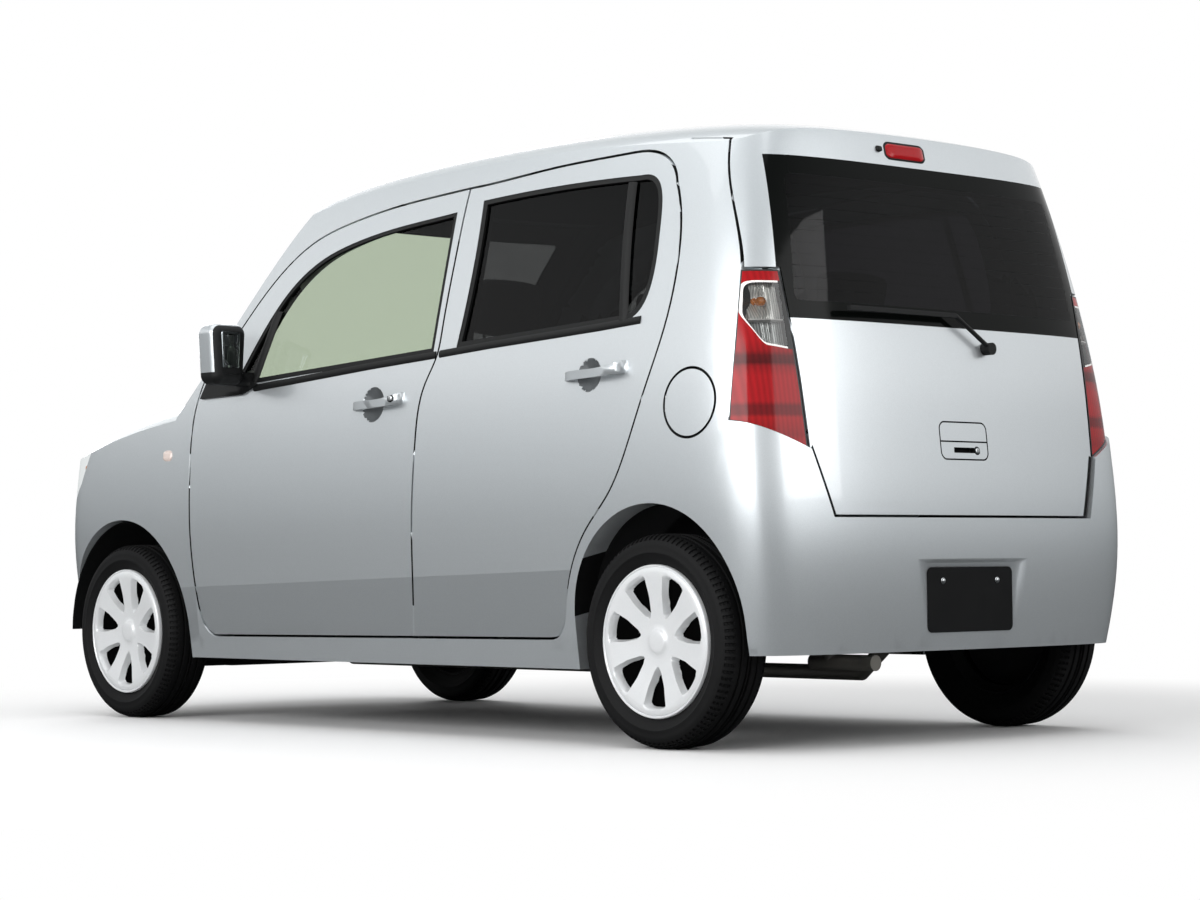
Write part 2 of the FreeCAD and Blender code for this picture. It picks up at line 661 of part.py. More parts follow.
def door_leaves():
    """Leaves of the pillar, hollowed round the knuckles."""
    pillar_x = edge_x + SHUT_GAP + HINGE_SINK
    pairs = hinge_pieces(edge_x + SEAT_GAP, pillar_x, knuckle_radius + SEAT_GAP)
    return [piece.cut(round_part) for piece, round_part in pairs]


cup_radius = (CUP_MOUTH ** 2 + CUP_DEPTH ** 2) / (2 * CUP_DEPTH)
cup_y = HANDLE_Y + cup_radius - CUP_DEPTH
for name, door_runs, pane_runs, handle_along, handle_up in (
    ("front", front_door_runs, front_pane_runs, FRONT_HANDLE_ALONG_SHARE, FRONT_HANDLE_UP_SHARE),
    ("rear", rear_door_runs, rear_pane_runs, REAR_HANDLE_ALONG_SHARE, REAR_HANDLE_UP_SHARE),
):
    handle_x, handle_z = along(handle_along), up(handle_up)
    window = side_prism(pane_runs, 0.0, WIDTH)
    door = wall.common(side_prism(door_runs, 0.0, WIDTH)).cut(window)
    if name == "rear":
        door = door.cut(arches)
    else:
        door = door.fuse(door_knuckles())
    cup_x = handle_x - CUP_PLACE_SHARE * HANDLE_LENGTH
    door = keep_solids(door).cut(Part.makeSphere(cup_radius, Vector(cup_x, cup_y, handle_z)))
    door = door.fuse(door_handle(handle_x, handle_z))
    glass = glass_wall.common(side_prism(grown(pane_runs, -SEAT_GAP), 0.0, WIDTH))
    save("door_" + name + "_left", door)
    save("door_" + name + "_right", mirrored(door))
    save("glass_" + name + "_left", keep_solids(glass))
    save("glass_" + name + "_right", mirrored(keep_solids(glass)))

# Door mirrors: a plate on the front door's corner, an arm and a rounded shell on it.
foot_y = HALF_WIDTH - MIRROR_ROOT
mirror_low, mirror_high = MIRROR_Z - MIRROR_TALL / 2, MIRROR_Z + MIRROR_TALL / 2
shell_low = [(MIRROR_Y - MIRROR_HALF_FOOT, mirror_low), (MIRROR_Y + MIRROR_HALF_FOOT, mirror_low)]
shell_high = [(MIRROR_Y + MIRROR_HALF_TOP, mirror_high), (MIRROR_Y - MIRROR_HALF_TOP, mirror_high)]
shell = rear_prism(polygon(shell_low + shell_high), MIRROR_X - MIRROR_LENGTH / 2, MIRROR_X + MIRROR_LENGTH / 2)
shell = shell.makeFillet(MIRROR_ROUND, shell.Edges)
arm = block(MIRROR_X - MIRROR_ARM_HALF, MIRROR_X + MIRROR_ARM_HALF, foot_y, MIRROR_Y,
            mirror_low, mirror_low + MIRROR_ARM_TALL)
base = side_prism(polygon(places(MIRROR_BASE_SHARES)), foot_y, WIDTH)
base = base.common(body_tower(-MIRROR_BASE_SHEET, -MIRROR_BASE_SHEET))
mirror_left = shell.fuse(arm).fuse(base).cut(body_tower(-SEAT_GAP, -SEAT_GAP))
mirror_left = max(mirror_left.Solids, key=lambda solid: solid.Volume)
save("mirror_left", mirror_left)
save("mirror_right", mirrored(mirror_left))

# Zones of the body that belong to other panels.
front_zone_x = along(FRONT_DOOR_NOSE_SHARES[1][0])
front_zone = block(front_zone_x, LENGTH, -WIDTH, WIDTH, BELOW_BODY, 2 * HEIGHT).common(bonnet_lid)
far_back = -LENGTH
lamp_top_z = up(LAMP_TOP_SHARE)
gate_foot_z = up(GATE_FOOT_SHARE)


def gate_zone(gap):
    """The space of the tailgate: full width over the lamps, and between them below."""
    line = places(GATE_LINE_SHARES, -gap)
    top = line[0]
    foot = line[-1][1] + gap
    runs = [line[:-1] + [(line[-1][0], foot)]]
    runs += [[(line[-1][0], foot), (far_back, foot)], [(far_back, foot), (far_back, top[1])]]
    runs += [[(far_back, top[1]), top]]
    upper = side_prism(runs, -WIDTH, WIDTH)
    knee_z = up(GATE_KNEE_SHARE)
    half = [(LAMP_HALF_TOP - gap, lamp_top_z + OVERRUN), (LAMP_HALF_TOP - gap, lamp_top_z),
            (LAMP_HALF_FOOT - gap, knee_z), (GATE_HALF_FOOT - gap, gate_foot_z + gap)]
    lower = rear_prism(polygon(half + [(-y, z) for y, z in half[::-1]]), far_back, REAR_AXLE_X)
    return upper.fuse(lower)


def lamp_zone(gap):
    """The space of one tail lamp at the body corner."""
    line = places(LAMP_SIDE_SHARES, -gap)
    runs = [line, [line[-1], (line[-1][0], 0.0)], [(line[-1][0], 0.0), (far_back, 0.0)]]
    runs += [[(far_back, 0.0), (far_back, line[0][1])], [(far_back, line[0][1]), line[0]]]
    corner = side_prism(runs, 0.0, WIDTH)
    foot = up(LAMP_FOOT_SHARE)
    knee = up(GATE_KNEE_SHARE)
    face = polygon([(0.0, lamp_top_z - gap), (WIDTH, lamp_top_z - gap), (WIDTH, foot + gap),
                    (HALF_WIDTH, foot + gap), (LAMP_HALF_FOOT, knee + gap), (0.0, knee + gap)])
    return corner.common(rear_prism(face, far_back, REAR_AXLE_X))


def bumper_zone(gap):
    """The space of the rear bumper, behind its shut line on the flank."""
    line = places(REAR_BUMPER_SHARES, -gap)
    low = (line[0][0], BELOW_BODY)
    runs = [[low, line[0]], line, [line[-1], (far_back, line[-1][1])]]
    runs += [[(far_back, line[-1][1]), (far_back, BELOW_BODY)], [(far_back, BELOW_BODY), low]]
    return side_prism(runs, -WIDTH, WIDTH)


# Rear end: tailgate, its glass, the tail lamps and the bumper.
gate_wide = gate_zone(0.0)
lamp_left = lamp_zone(0.0)
lamps_wide = lamp_left.fuse(mirrored(lamp_left))
pane_foot = up(REAR_PANE_FOOT_SHARE)
pane_top = up(REAR_PANE_TOP_SHARE)
rear_pane = polygon([(-REAR_PANE_HALF_FOOT, pane_foot), (REAR_PANE_HALF_FOOT, pane_foot),
                     (REAR_PANE_HALF_TOP, pane_top), (-REAR_PANE_HALF_TOP, pane_top)])
pane_hole = rear_prism(rear_pane, far_back, REAR_AXLE_X + REAR_OVERHANG / 4)
pane_bed = GLASS_THICKNESS + 2 * SEAT_GAP
pane_seat = pane_hole.cut(body_tower(pane_bed, pane_bed, pane_bed))
pane_light = rear_prism(grown(rear_pane, -PANE_REBATE), far_back, REAR_AXLE_X + REAR_OVERHANG / 4)
tailgate = cabin_shell.common(gate_zone(SHUT_GAP)).cut(pane_seat).cut(pane_light)


def gate_plate(inset, round_radius):
    """The rounded outline of the tailgate handle as a prism through the tail skin."""
    middle = up(GATE_HANDLE_UP_SHARE)
    half_y, half_z = GATE_HANDLE_HALF - inset, GATE_HANDLE_TALL / 2 - inset
    plate = block(far_back, REAR_AXLE_X, GATE_HANDLE_MID - half_y, GATE_HANDLE_MID + half_y,
                  middle - half_z, middle + half_z)
    corners = [edge for edge in plate.Edges if edge.Length > OVERRUN]
    return plate.makeFillet(round_radius, corners)


def slot_block(half, low, tall):
    """A level slot across the tailgate handle."""
    return block(far_back, REAR_AXLE_X, GATE_HANDLE_MID - half, GATE_HANDLE_MID + half, low, low + tall)


handle_foot = up(GATE_HANDLE_UP_SHARE) - GATE_HANDLE_TALL / 2
groove = gate_plate(0.0, GATE_HANDLE_ROUND)
groove = groove.cut(gate_plate(GATE_HANDLE_GROOVE, GATE_HANDLE_ROUND - GATE_HANDLE_GROOVE))
split_z = handle_foot + GATE_SPLIT_SHARE * GATE_HANDLE_TALL
groove = groove.fuse(slot_block(GATE_HANDLE_HALF - GATE_HANDLE_GROOVE / 2, split_z, GATE_HANDLE_GROOVE))
groove = groove.cut(body_tower(GATE_HANDLE_DEPTH, GATE_HANDLE_DEPTH, GATE_HANDLE_DEPTH))
slot = slot_block(GATE_SLOT_HALF, handle_foot + GATE_SLOT_SHARE * GATE_HANDLE_TALL, GATE_SLOT_TALL)
slot = slot.cut(body_tower(GATE_SLOT_DEPTH, GATE_SLOT_DEPTH, GATE_SLOT_DEPTH))
save("tailgate", keep_solids(keep_solids(tailgate, PANEL_VOLUME).cut(groove).cut(slot), PANEL_VOLUME))
pane_back = GLASS_THICKNESS + SEAT_GAP
back_wall = body_tower(SEAT_GAP, SEAT_GAP, SEAT_GAP).cut(body_tower(pane_back, pane_back, pane_back))
glass_zone = rear_prism(grown(rear_pane, -SEAT_GAP), far_back, REAR_AXLE_X - REAR_OVERHANG / 4)
rear_glass = back_wall.common(glass_zone)
rear_glass = rear_glass.common(gate_zone(SHUT_GAP + SEAT_GAP))
save("tailgate_glass", keep_solids(rear_glass))
lamp_body = keep_solids(cabin_shell.common(lamp_zone(SEAT_GAP)).cut(gate_wide))
save("tail_lamps", Part.makeCompound([lamp_body, mirrored(lamp_body)]))
below_bumper = block(-LENGTH, LENGTH, -WIDTH, WIDTH, BELOW_BODY, BUMPER_Z)
bumper = swollen.cut(inner).common(bumper_zone(SEAT_GAP)).cut(gate_wide).cut(lamps_wide)
bumper = bumper.cut(arches).cut(below_bumper)
seat_x = REAR_AXLE_X - REAR_OVERHANG + PLATE_SEAT_DEPTH
flare = []
for run, wide, tall in ((0.0, 0.0, 0.0), (PLATE_FLARE_RUN, PLATE_FLARE_WIDE, PLATE_FLARE_TALL)):
    half_y, half_z = PLATE_HALF_WIDE + wide, PLATE_HALF_TALL + tall
    corners = []
    for y, z in ((-half_y, -half_z), (half_y, -half_z), (half_y, half_z), (-half_y, half_z)):
        corners.append(Vector(seat_x - run, y, PLATE_Z + z))
    flare.append(Part.makePolygon(corners + [corners[0]]))
bumper = bumper.cut(Part.makeLoft(flare, True, True))
for side in (-1, 1):
    bolt_at = Vector(seat_x - OVERRUN, side * PLATE_BOLT_SPACING / 2, PLATE_Z + PLATE_BOLT_RISE)
    hole = Part.makeCylinder(PLATE_BOLT_RADIUS, OVERRUN + PLATE_BOLT_DEPTH, bolt_at, Vector(1, 0, 0))
    bumper = bumper.cut(hole)
save("rear_bumper", keep_solids(bumper, PANEL_VOLUME))

# Rear wiper: a driven boss on the tailgate, an arm and a blade.
boss = Part.makeCylinder(WIPER_BOSS, 2 * WIPER_BOSS, Vector(WIPER_X, WIPER_Y, WIPER_Z), Vector(-1, 0, 0))
tip = Vector(WIPER_X - WIPER_BOSS, 0.0, BLADE_Z)
root = Vector(WIPER_X - WIPER_BOSS * WIPER_ROOT_SHARE, WIPER_Y, WIPER_Z)
arm = Part.makeCylinder(WIPER_ARM, root.distanceToPoint(tip), root, tip - root)
blade = block(tip.x - WIPER_ARM, tip.x + WIPER_ARM, 0.0, BLADE_LENGTH,
              BLADE_Z - WIPER_ARM, BLADE_Z + WIPER_ARM)
wiper = boss.fuse(arm).fuse(blade).cut(body_tower(-SEAT_GAP, -SEAT_GAP, -SEAT_GAP))
save("rear_wiper", keep_solids(wiper))

# Fuel lid and its pocket in the left flank.
lid_round = drum(LID_RADIUS, LID_X, LID_Z, 0.0, WIDTH)
pocket_round = drum(LID_RADIUS + SHUT_GAP, LID_X, LID_Z, 0.0, WIDTH)
fuel_lid = wall.cut(body_tower(LID_SHEET, LID_SHEET, LID_SHEET)).common(lid_round)
lid_hinge_x = LID_X + LID_RADIUS - LID_BARREL_RADIUS
barrel_low = LID_Z - LID_BARREL_HALF
barrel_at = Vector(lid_hinge_x, LID_HINGE_Y, barrel_low)
barrel = Part.makeCylinder(LID_BARREL_RADIUS, 2 * LID_BARREL_HALF, barrel_at)
fuel_lid = keep_solids(fuel_lid).fuse(barrel.common(outer))
pocket = pocket_round.cut(body_tower(POCKET_DEPTH, POCKET_DEPTH, POCKET_DEPTH))


def lid_lug(low_z, tall, radius):
    """A round lug on the lid's hinge line, on a foot that stands on the pocket's floor."""
    foot_y = HALF_WIDTH - POCKET_DEPTH - FRAME_WALL / 2
    foot = block(lid_hinge_x - radius, lid_hinge_x + radius, foot_y, LID_HINGE_Y, low_z, low_z + tall)
    return Part.makeCylinder(radius, tall, Vector(lid_hinge_x, LID_HINGE_Y, low_z)).fuse(foot)


lid_lugs = []
for lug_z in (barrel_low - SEAT_GAP - LID_LUG_TALL, LID_Z + LID_BARREL_HALF + SEAT_GAP):
    lid_lugs.append(lid_lug(lug_z, LID_LUG_TALL, LID_BARREL_RADIUS).common(outer))
    room = lid_lug(lug_z - SEAT_GAP, LID_LUG_TALL + 2 * SEAT_GAP, LID_BARREL_RADIUS + SEAT_GAP)
    fuel_lid = fuel_lid.cut(room)
save("fuel_lid", keep_solids(fuel_lid))

# Windscreen, roof, flanks and the posts between the doors.
screen_foot = up(SCREEN_SHARES[1][1])
screen_frame = polygon([(-SCREEN_PANE_FOOT, 0.0), (SCREEN_PANE_FOOT, 0.0), (SCREEN_PANE_FOOT, screen_foot),
                        (SCREEN_PANE_TOP, SCREEN_TOP_Z), (-SCREEN_PANE_TOP, SCREEN_TOP_Z),
                        (-SCREEN_PANE_FOOT, screen_foot)])
screen_hole = rear_prism(screen_frame, SCREEN_BACK_X, LENGTH)
flanks = cabin_shell.cut(screen_hole).cut(apertures).cut(front_zone).cut(gate_wide).cut(lamps_wide)
flanks = flanks.cut(bumper_zone(0.0)).cut(arches).cut(under_sill).cut(pocket)
roof_zone = block(along(GATE_LINE_SHARES[1][0]), LENGTH, -ROOF_PANEL_HALF, ROOF_PANEL_HALF,
                  SCREEN_TOP_Z, 2 * HEIGHT)
save("roof", keep_solids(flanks.common(roof_zone), PANEL_VOLUME))
flank_zone = block(-LENGTH, LENGTH, ROOF_PANEL_HALF - OVERRUN, WIDTH, BELOW_BODY, 2 * HEIGHT)
flank = keep_solids(flanks.cut(roof_zone).common(flank_zone), PANEL_VOLUME)
save("side_left", flank.fuse(lid_lugs))
flank_zone = mirrored(flank_zone)
flanks_right = cabin_shell.cut(screen_hole).cut(mirrored(apertures)).cut(front_zone).cut(gate_wide)
flanks_right = flanks_right.cut(lamps_wide).cut(bumper_zone(0.0)).cut(arches).cut(under_sill)
save("side_right", keep_solids(flanks_right.cut(roof_zone).common(flank_zone), PANEL_VOLUME))
screen_slab = screen_lid.cut(lid(SCREEN_SHARES, SCREEN_SECTION_SHARES, SCREEN_HALF, 0.0, SCREEN_BOW,
                                 (-GLASS_THICKNESS, -GLASS_THICKNESS)))
screen = screen_slab.common(rear_prism(grown(screen_frame, -SEAT_GAP), SCREEN_BACK_X, LENGTH))
screen = screen.common(outer).cut(bonnet_lid)
save("windscreen", keep_solids(screen))

# Front end: bonnet, cowl, fenders, bumper, headlamps and grille.
nose_top = bonnet_lid.BoundBox.XMax


def bonnet_zone(gap):
    """The space of the bonnet, with a bowed rear edge that keeps ahead of the windscreen."""
    rear = BONNET_HINGE_X + gap
    side = BONNET_HALF_REAR - gap
    nose = BONNET_HALF_NOSE - gap
    back = [(rear, side), (rear + BONNET_BOW, 0.0), (rear, -side)]
    runs = [back, [(rear, -side), (nose_top, -nose)], [(nose_top, -nose), (nose_top, nose)]]
    runs += [[(nose_top, nose), (rear, side)]]
    screen_side = lid(SCREEN_SHARES, SCREEN_SECTION_SHARES, SCREEN_HALF, 0.0, SCREEN_BOW, (gap, gap))
    return plan_prism(runs, BONNET_EDGE_Z + gap, 2 * HEIGHT).cut(screen_side)


bonnet = keep_solids(front_shell.common(bonnet_zone(SHUT_GAP)), PANEL_VOLUME)
save("bonnet", bonnet)
bay_panels = front_shell.common(front_zone).cut(bonnet_zone(0.0)).cut(arches)
bay_panels = bay_panels.cut(apertures).cut(mirrored(apertures))
cowl_zone = block(front_zone_x, BONNET_HINGE_X + BONNET_BOW + OVERRUN / 4,
                  -BONNET_HALF_REAR, BONNET_HALF_REAR, BONNET_EDGE_Z, 2 * HEIGHT)
cowl = keep_solids(bay_panels.common(cowl_zone), PANEL_VOLUME)
rest_x = BONNET_HINGE_X + BONNET_BOW - COWL_REST_BACK
rest_z = up(BONNET_SHARES[2][1]) - PANEL_WALL
under_bonnet = lid(BONNET_SHARES, BONNET_SECTION_SHARES, BONNET_HALF, BONNET_SHOULDER, 0.0,
                   (0.0, -PANEL_WALL - SEAT_GAP))
under_cowl = lid(BONNET_SHARES, BONNET_SECTION_SHARES, BONNET_HALF, BONNET_SHOULDER, 0.0,
                 (0.0, -PANEL_WALL / 2))
for side in (-1, 1):
    rest_low, rest_high = side * COWL_REST_Y - COWL_REST_HALF, side * COWL_REST_Y + COWL_REST_HALF
    pad = block(rest_x, rest_x + COWL_REST_LONG, rest_low, rest_high, rest_z - COWL_REST_TALL, HEIGHT)
    foot = block(rest_x, rest_x + COWL_REST_FOOT, rest_low, rest_high, rest_z - COWL_REST_TALL, HEIGHT)
    cowl = cowl.fuse(pad.common(under_bonnet)).fuse(foot.common(under_cowl))
save("cowl", cowl)
bay_panels = bay_panels.cut(cowl_zone)
lamp_line = places(HEADLAMP_SHARES)
headlamp_zone = side_prism(polygon(lamp_line), GRILLE_HALF, WIDTH)
headlamp = keep_solids(bay_panels.common(headlamp_zone), PANEL_VOLUME)
save("headlamps", Part.makeCompound([headlamp, mirrored(headlamp)]))
bay_panels = bay_panels.cut(headlamp_zone).cut(mirrored(headlamp_zone))
nose_zone = block(FRONT_AXLE_X, LENGTH, -WIDTH, WIDTH, BELOW_BODY, 2 * HEIGHT)
grille_zone = nose_zone.common(block(0.0, LENGTH, -GRILLE_HALF, GRILLE_HALF, GRILLE_Z, 2 * HEIGHT))
grille = bay_panels.common(grille_zone)
bay_panels = bay_panels.cut(grille_zone)
bumper_line = places(FRONT_BUMPER_SHARES)
front_bumper_zone = side_prism(polygon(bumper_line + [(LENGTH, bumper_line[-1][1]), (LENGTH, BELOW_BODY),
                                                      (bumper_line[0][0], BELOW_BODY)]), -WIDTH, WIDTH)
intake = block(FRONT_AXLE_X, LENGTH, -INTAKE_HALF, INTAKE_HALF, INTAKE_LOW_Z, INTAKE_HIGH_Z)
front_bumper = bay_panels.common(front_bumper_zone).cut(below_bumper).cut(intake)
save("front_bumper", keep_solids(front_bumper, PANEL_VOLUME))
fenders = bay_panels.cut(front_bumper_zone).cut(under_sill)
hinge_leaves = door_leaves()
fenders = fenders.fuse(hinge_leaves + [mirrored(leaf) for leaf in hinge_leaves])
save("front_fenders", keep_solids(fenders, PANEL_VOLUME))

# Grille: the upper panel with slots, and slats across the lower intake.
slot_pitch = (BONNET_EDGE_Z - GRILLE_Z) / GRILLE_ROWS
for row in range(GRILLE_ROWS - 1):
    slot_z = GRILLE_Z + slot_pitch * (row + 0.5)
    grille = grille.cut(block(FRONT_AXLE_X, LENGTH, -GRILLE_HALF + SLAT, GRILLE_HALF - SLAT,
                              slot_z + SLAT / 2, slot_z + slot_pitch - SLAT / 2))
slats = []
slat_back = SLAT + SLAT_DEPTH
slat_wall = body_tower(SLAT, SLAT, SLAT).cut(body_tower(slat_back, slat_back, slat_back))
for row in range(1, INTAKE_SLATS + 1):
    slat_z = INTAKE_LOW_Z + (INTAKE_HIGH_Z - INTAKE_LOW_Z) * row / (INTAKE_SLATS + 1)
    slats.append(slat_wall.common(block(FRONT_AXLE_X, LENGTH, -INTAKE_HALF + SEAT_GAP, INTAKE_HALF - SEAT_GAP,
                                        slat_z - SLAT / 2, slat_z + SLAT / 2)))
save("grille", Part.makeCompound([grille] + slats))

# Floor, bulkhead, rear panel and wheel tubs as one pressing, inside the walls.
fit = body_tower(DOOR_WALL + SEAT_GAP, FRAME_WALL + SEAT_GAP, END_WALL + SEAT_GAP)
tail_x = REAR_AXLE_X - REAR_OVERHANG + END_WALL
floor = block(REAR_FLOOR_X, BULKHEAD_X + FLOOR_SHEET, -WIDTH, WIDTH, FLOOR_Z, FLOOR_Z + FLOOR_SHEET)
step_x = REAR_FLOOR_X - FLOOR_SHEET
floor = floor.fuse(block(step_x, REAR_FLOOR_X, -WIDTH, WIDTH, FLOOR_Z, REAR_FLOOR_Z + FLOOR_SHEET))
floor = floor.fuse(block(-LENGTH, REAR_FLOOR_X, -WIDTH, WIDTH, REAR_FLOOR_Z, REAR_FLOOR_Z + FLOOR_SHEET))
floor = floor.fuse(block(tail_x, tail_x + FLOOR_SHEET, -WIDTH, WIDTH, REAR_FLOOR_Z, gate_foot_z - SHUT_GAP))
bulkhead = block(BULKHEAD_X, BULKHEAD_X + FLOOR_SHEET, -WIDTH, WIDTH, FLOOR_Z, 2 * HEIGHT)
floor = floor.fuse(bulkhead)
tub_wide = arch(REAR_ARCH_RADIUS + FLOOR_SHEET, REAR_AXLE_X, REAR_ARCH_Z, TUB_Y, WIDTH)
tub_hole = arch(REAR_ARCH_RADIUS, REAR_AXLE_X, REAR_ARCH_Z, TUB_Y + FLOOR_SHEET, WIDTH)
floor = floor.fuse(tub_wide).fuse(mirrored(tub_wide)).cut(tub_hole).cut(mirrored(tub_hole))
front_arch = arch(FRONT_ARCH_RADIUS, FRONT_AXLE_X, FRONT_ARCH_Z, TUB_Y, WIDTH)
floor = floor.common(fit).cut(front_arch).cut(mirrored(front_arch))
floor = floor.cut(block(-LENGTH, LENGTH, -WIDTH, WIDTH, BELOW_BODY, FLOOR_Z))
floor = floor.cut(block(-LENGTH, step_x, -WIDTH, WIDTH, BELOW_BODY, REAR_FLOOR_Z))
front_cut = block(BULKHEAD_X, LENGTH, -WIDTH, WIDTH, FLOOR_Z, 2 * HEIGHT).cut(under_bonnet)
floor = keep_solids(floor.cut(front_cut), PANEL_VOLUME)
dash_end = along(max(x for x, z in DASH_SHARES))
floor = floor.fuse(block(dash_end + SEAT_GAP, BULKHEAD_X, -DASH_BRACKET_HALF, DASH_BRACKET_HALF,
                         DASH_BRACKET_LOW, DASH_BRACKET_HIGH))
riser_foot = FLOOR_Z + FLOOR_SHEET / 2
riser_top = SEAT_Z - SEAT_GAP
for riser_x in (REAR_SEAT_X - SEAT_BACK + RISER_INSET, REAR_SEAT_X + SEAT_LONG - RISER_INSET):
    reach = REAR_BENCH_HALF - RISER_INSET
    floor = floor.fuse(block(riser_x - FLOOR_SHEET / 2, riser_x + FLOOR_SHEET / 2, -reach, reach,
                             riser_foot, riser_top))
for riser_x in (FRONT_SEAT_X - SEAT_BACK + RISER_INSET, FRONT_SEAT_X + SEAT_LONG - RISER_INSET):
    for middle in (-FRONT_SEAT_Y, FRONT_SEAT_Y):
        reach = FRONT_SEAT_HALF - RISER_INSET
        floor = floor.fuse(block(riser_x - FLOOR_SHEET / 2, riser_x + FLOOR_SHEET / 2,
                                 middle - reach, middle + reach, riser_foot, riser_top))
save("floor_pan", floor)

# Posts between the doors, behind the door trims and clear of them.
post_in = DOOR_WALL + SHUT_GAP
post_high = FRAME_WALL + SHUT_GAP
post_wall = body_tower(post_in, post_high, END_WALL)
post_wall = post_wall.cut(body_tower(post_in + POST_DEPTH, post_high + POST_DEPTH, END_WALL + POST_DEPTH))
post_line = places(PILLAR_LINE_SHARES, POST_SHIFT)
post_runs = [[(post_line[0][0], FLOOR_Z + FLOOR_SHEET), post_line[1]], post_line[1:]]
post_high_end = (post_line[-1][0], 2 * HEIGHT)
post_back_end = (post_high_end[0] + POST_WIDTH, post_high_end[1])
post_low_end = (post_line[0][0] + POST_WIDTH, FLOOR_Z + FLOOR_SHEET)
post_runs += [[post_line[-1], post_high_end], [post_high_end, post_back_end]]
post_back = [(x + POST_WIDTH, z) for x, z in post_line]
post_runs += [[post_back_end, post_back[-1]], post_back[:0:-1]]
post_runs += [[post_back[1], post_low_end], [post_low_end, (post_line[0][0], FLOOR_Z + FLOOR_SHEET)]]
post = post_wall.common(side_prism(post_runs, 0.0, WIDTH)).common(roof_lid_in)
save("door_posts", Part.makeCompound([keep_solids(post), mirrored(keep_solids(post))]))

# Tyres and wheels on both axles.
half_tyre = TYRE_WIDTH / 2


def tyre(x, y):
    """A tyre as a ring, with its bead, sidewalls, shoulders and tread."""
    profile = [(RIM_RADIUS, -BEAD_SHARE), (WHEEL_COVER_RADIUS + SEAT_GAP, -BEAD_SHARE), (TYRE_WAIST, -1.0),
               (TYRE_RADIUS - TYRE_SHOULDER, -SHOULDER_SHARE), (TYRE_RADIUS, -TREAD_SHARE)]
    points = [Vector(0, y + part * half_tyre, radius) for radius, part in profile]
    points += [Vector(0, y - part * half_tyre, radius) for radius, part in profile[::-1]]
    face = Part.Face(Part.makePolygon(points + [points[0]]))
    solid = face.revolve(Vector(0, 0, 0), Vector(0, 1, 0), 360)
    return solid.translate(Vector(x, 0, TYRE_RADIUS))


def wheel(x, y, out):
    """A steel rim with a hub bore and a seven spoked cover; out is +1 on the left."""
    rim_half = half_tyre * BEAD_SHARE
    rim_out = RIM_RADIUS - SEAT_GAP
    face_y = y + out * (half_tyre - COVER_INSET)
    barrel = drum(rim_out, 0.0, 0.0, y - rim_half, y + rim_half)
    barrel = barrel.cut(drum(RIM_RADIUS - RIM_SHEET, 0.0, 0.0, y - OVERRUN, y + OVERRUN))
    disc_y = y + out * DISC_OFFSET
    disc = Part.makeCylinder(RIM_RADIUS - RIM_SHEET / 2, RIM_SHEET, Vector(0, disc_y, 0), Vector(0, out, 0))
    hub_at = Vector(0, disc_y + out * RIM_SHEET, 0)
    hub = Part.makeCylinder(HUB_RADIUS, WHEEL_BORE_LENGTH, hub_at, Vector(0, -out, 0))
    dips = [(0.0, COVER_DISH), (HUB_RADIUS, COVER_DISH)]
    dips += [(WHEEL_COVER_RADIUS * COVER_KNEE_SHARE, COVER_DISH * COVER_DISH_SHARE)]
    dips += [(WHEEL_COVER_RADIUS * COVER_EDGE_SHARE, 0.0), (WHEEL_COVER_RADIUS, COVER_RIM)]
    dips += [(radius, dip + COVER_SHEET) for radius, dip in dips[::-1]]
    points = [Vector(0, face_y - out * dip, radius) for radius, dip in dips]
    cover = Part.Face(Part.makePolygon(points + [points[0]])).revolve(Vector(0, 0, 0), Vector(0, 1, 0), 360)
    for turn in range(SPOKES):
        angle = 360.0 / SPOKES * (turn + 0.5)
        rim = [Vector(-HOLE_SMALL, 0, HOLE_IN), Vector(0, 0, HOLE_IN - HOLE_SMALL)]
        rim += [Vector(HOLE_SMALL, 0, HOLE_IN), Vector(HOLE_LARGE, 0, HOLE_OUT)]
        rim += [Vector(0, 0, HOLE_OUT + HOLE_SMALL), Vector(-HOLE_LARGE, 0, HOLE_OUT)]
        window = Part.Face(Part.makePolygon(rim + [rim[0]])).extrude(Vector(0, 2 * OVERRUN, 0))
        window.translate(Vector(0, face_y - OVERRUN, 0))
        window.rotate(Vector(0, 0, 0), Vector(0, 1, 0), angle)
        cover = cover.cut(window)
    core_length = abs(face_y - disc_y) - COVER_DISH
    core = Part.makeCylinder(HUB_RADIUS, core_length, Vector(0, disc_y, 0), Vector(0, out, 0))
    lip_y = face_y - out * (COVER_RIM + COVER_SHEET)
    lip_length = abs(lip_y - (y + out * rim_half)) + RIM_SHEET
    lip_at = Vector(0, lip_y + out * COVER_SHEET / 2, 0)
    lip = Part.makeCylinder(RIM_RADIUS - RIM_SHEET / 2, lip_length, lip_at, Vector(0, -out, 0))
    lip = lip.cut(drum(RIM_RADIUS - RIM_SHEET * RIM_LIP_SHARE, 0.0, 0.0, y - OVERRUN, y + OVERRUN))
    body = barrel.fuse(disc).fuse(hub).fuse(cover).fuse(core).fuse(lip)
    bore_at = Vector(0, disc_y - out * WHEEL_BORE_LENGTH, 0)
    bore = Part.makeCylinder(STUB_RADIUS + STUB_GAP, WHEEL_BORE_LENGTH, bore_at, Vector(0, out, 0))
    return body.cut(bore).translate(Vector(x, 0, TYRE_RADIUS))


for name, x, track in (("front", FRONT_AXLE_X, FRONT_TRACK), ("rear", REAR_AXLE_X, REAR_TRACK)):
    save("tyre_" + name + "_left", tyre(x, track / 2))
    save("tyre_" + name + "_right", mirrored(tyre(x, track / 2)))
    left = wheel(x, track / 2, 1)
    save("wheel_" + name + "_left", left)
    save("wheel_" + name + "_right", mirrored(left))

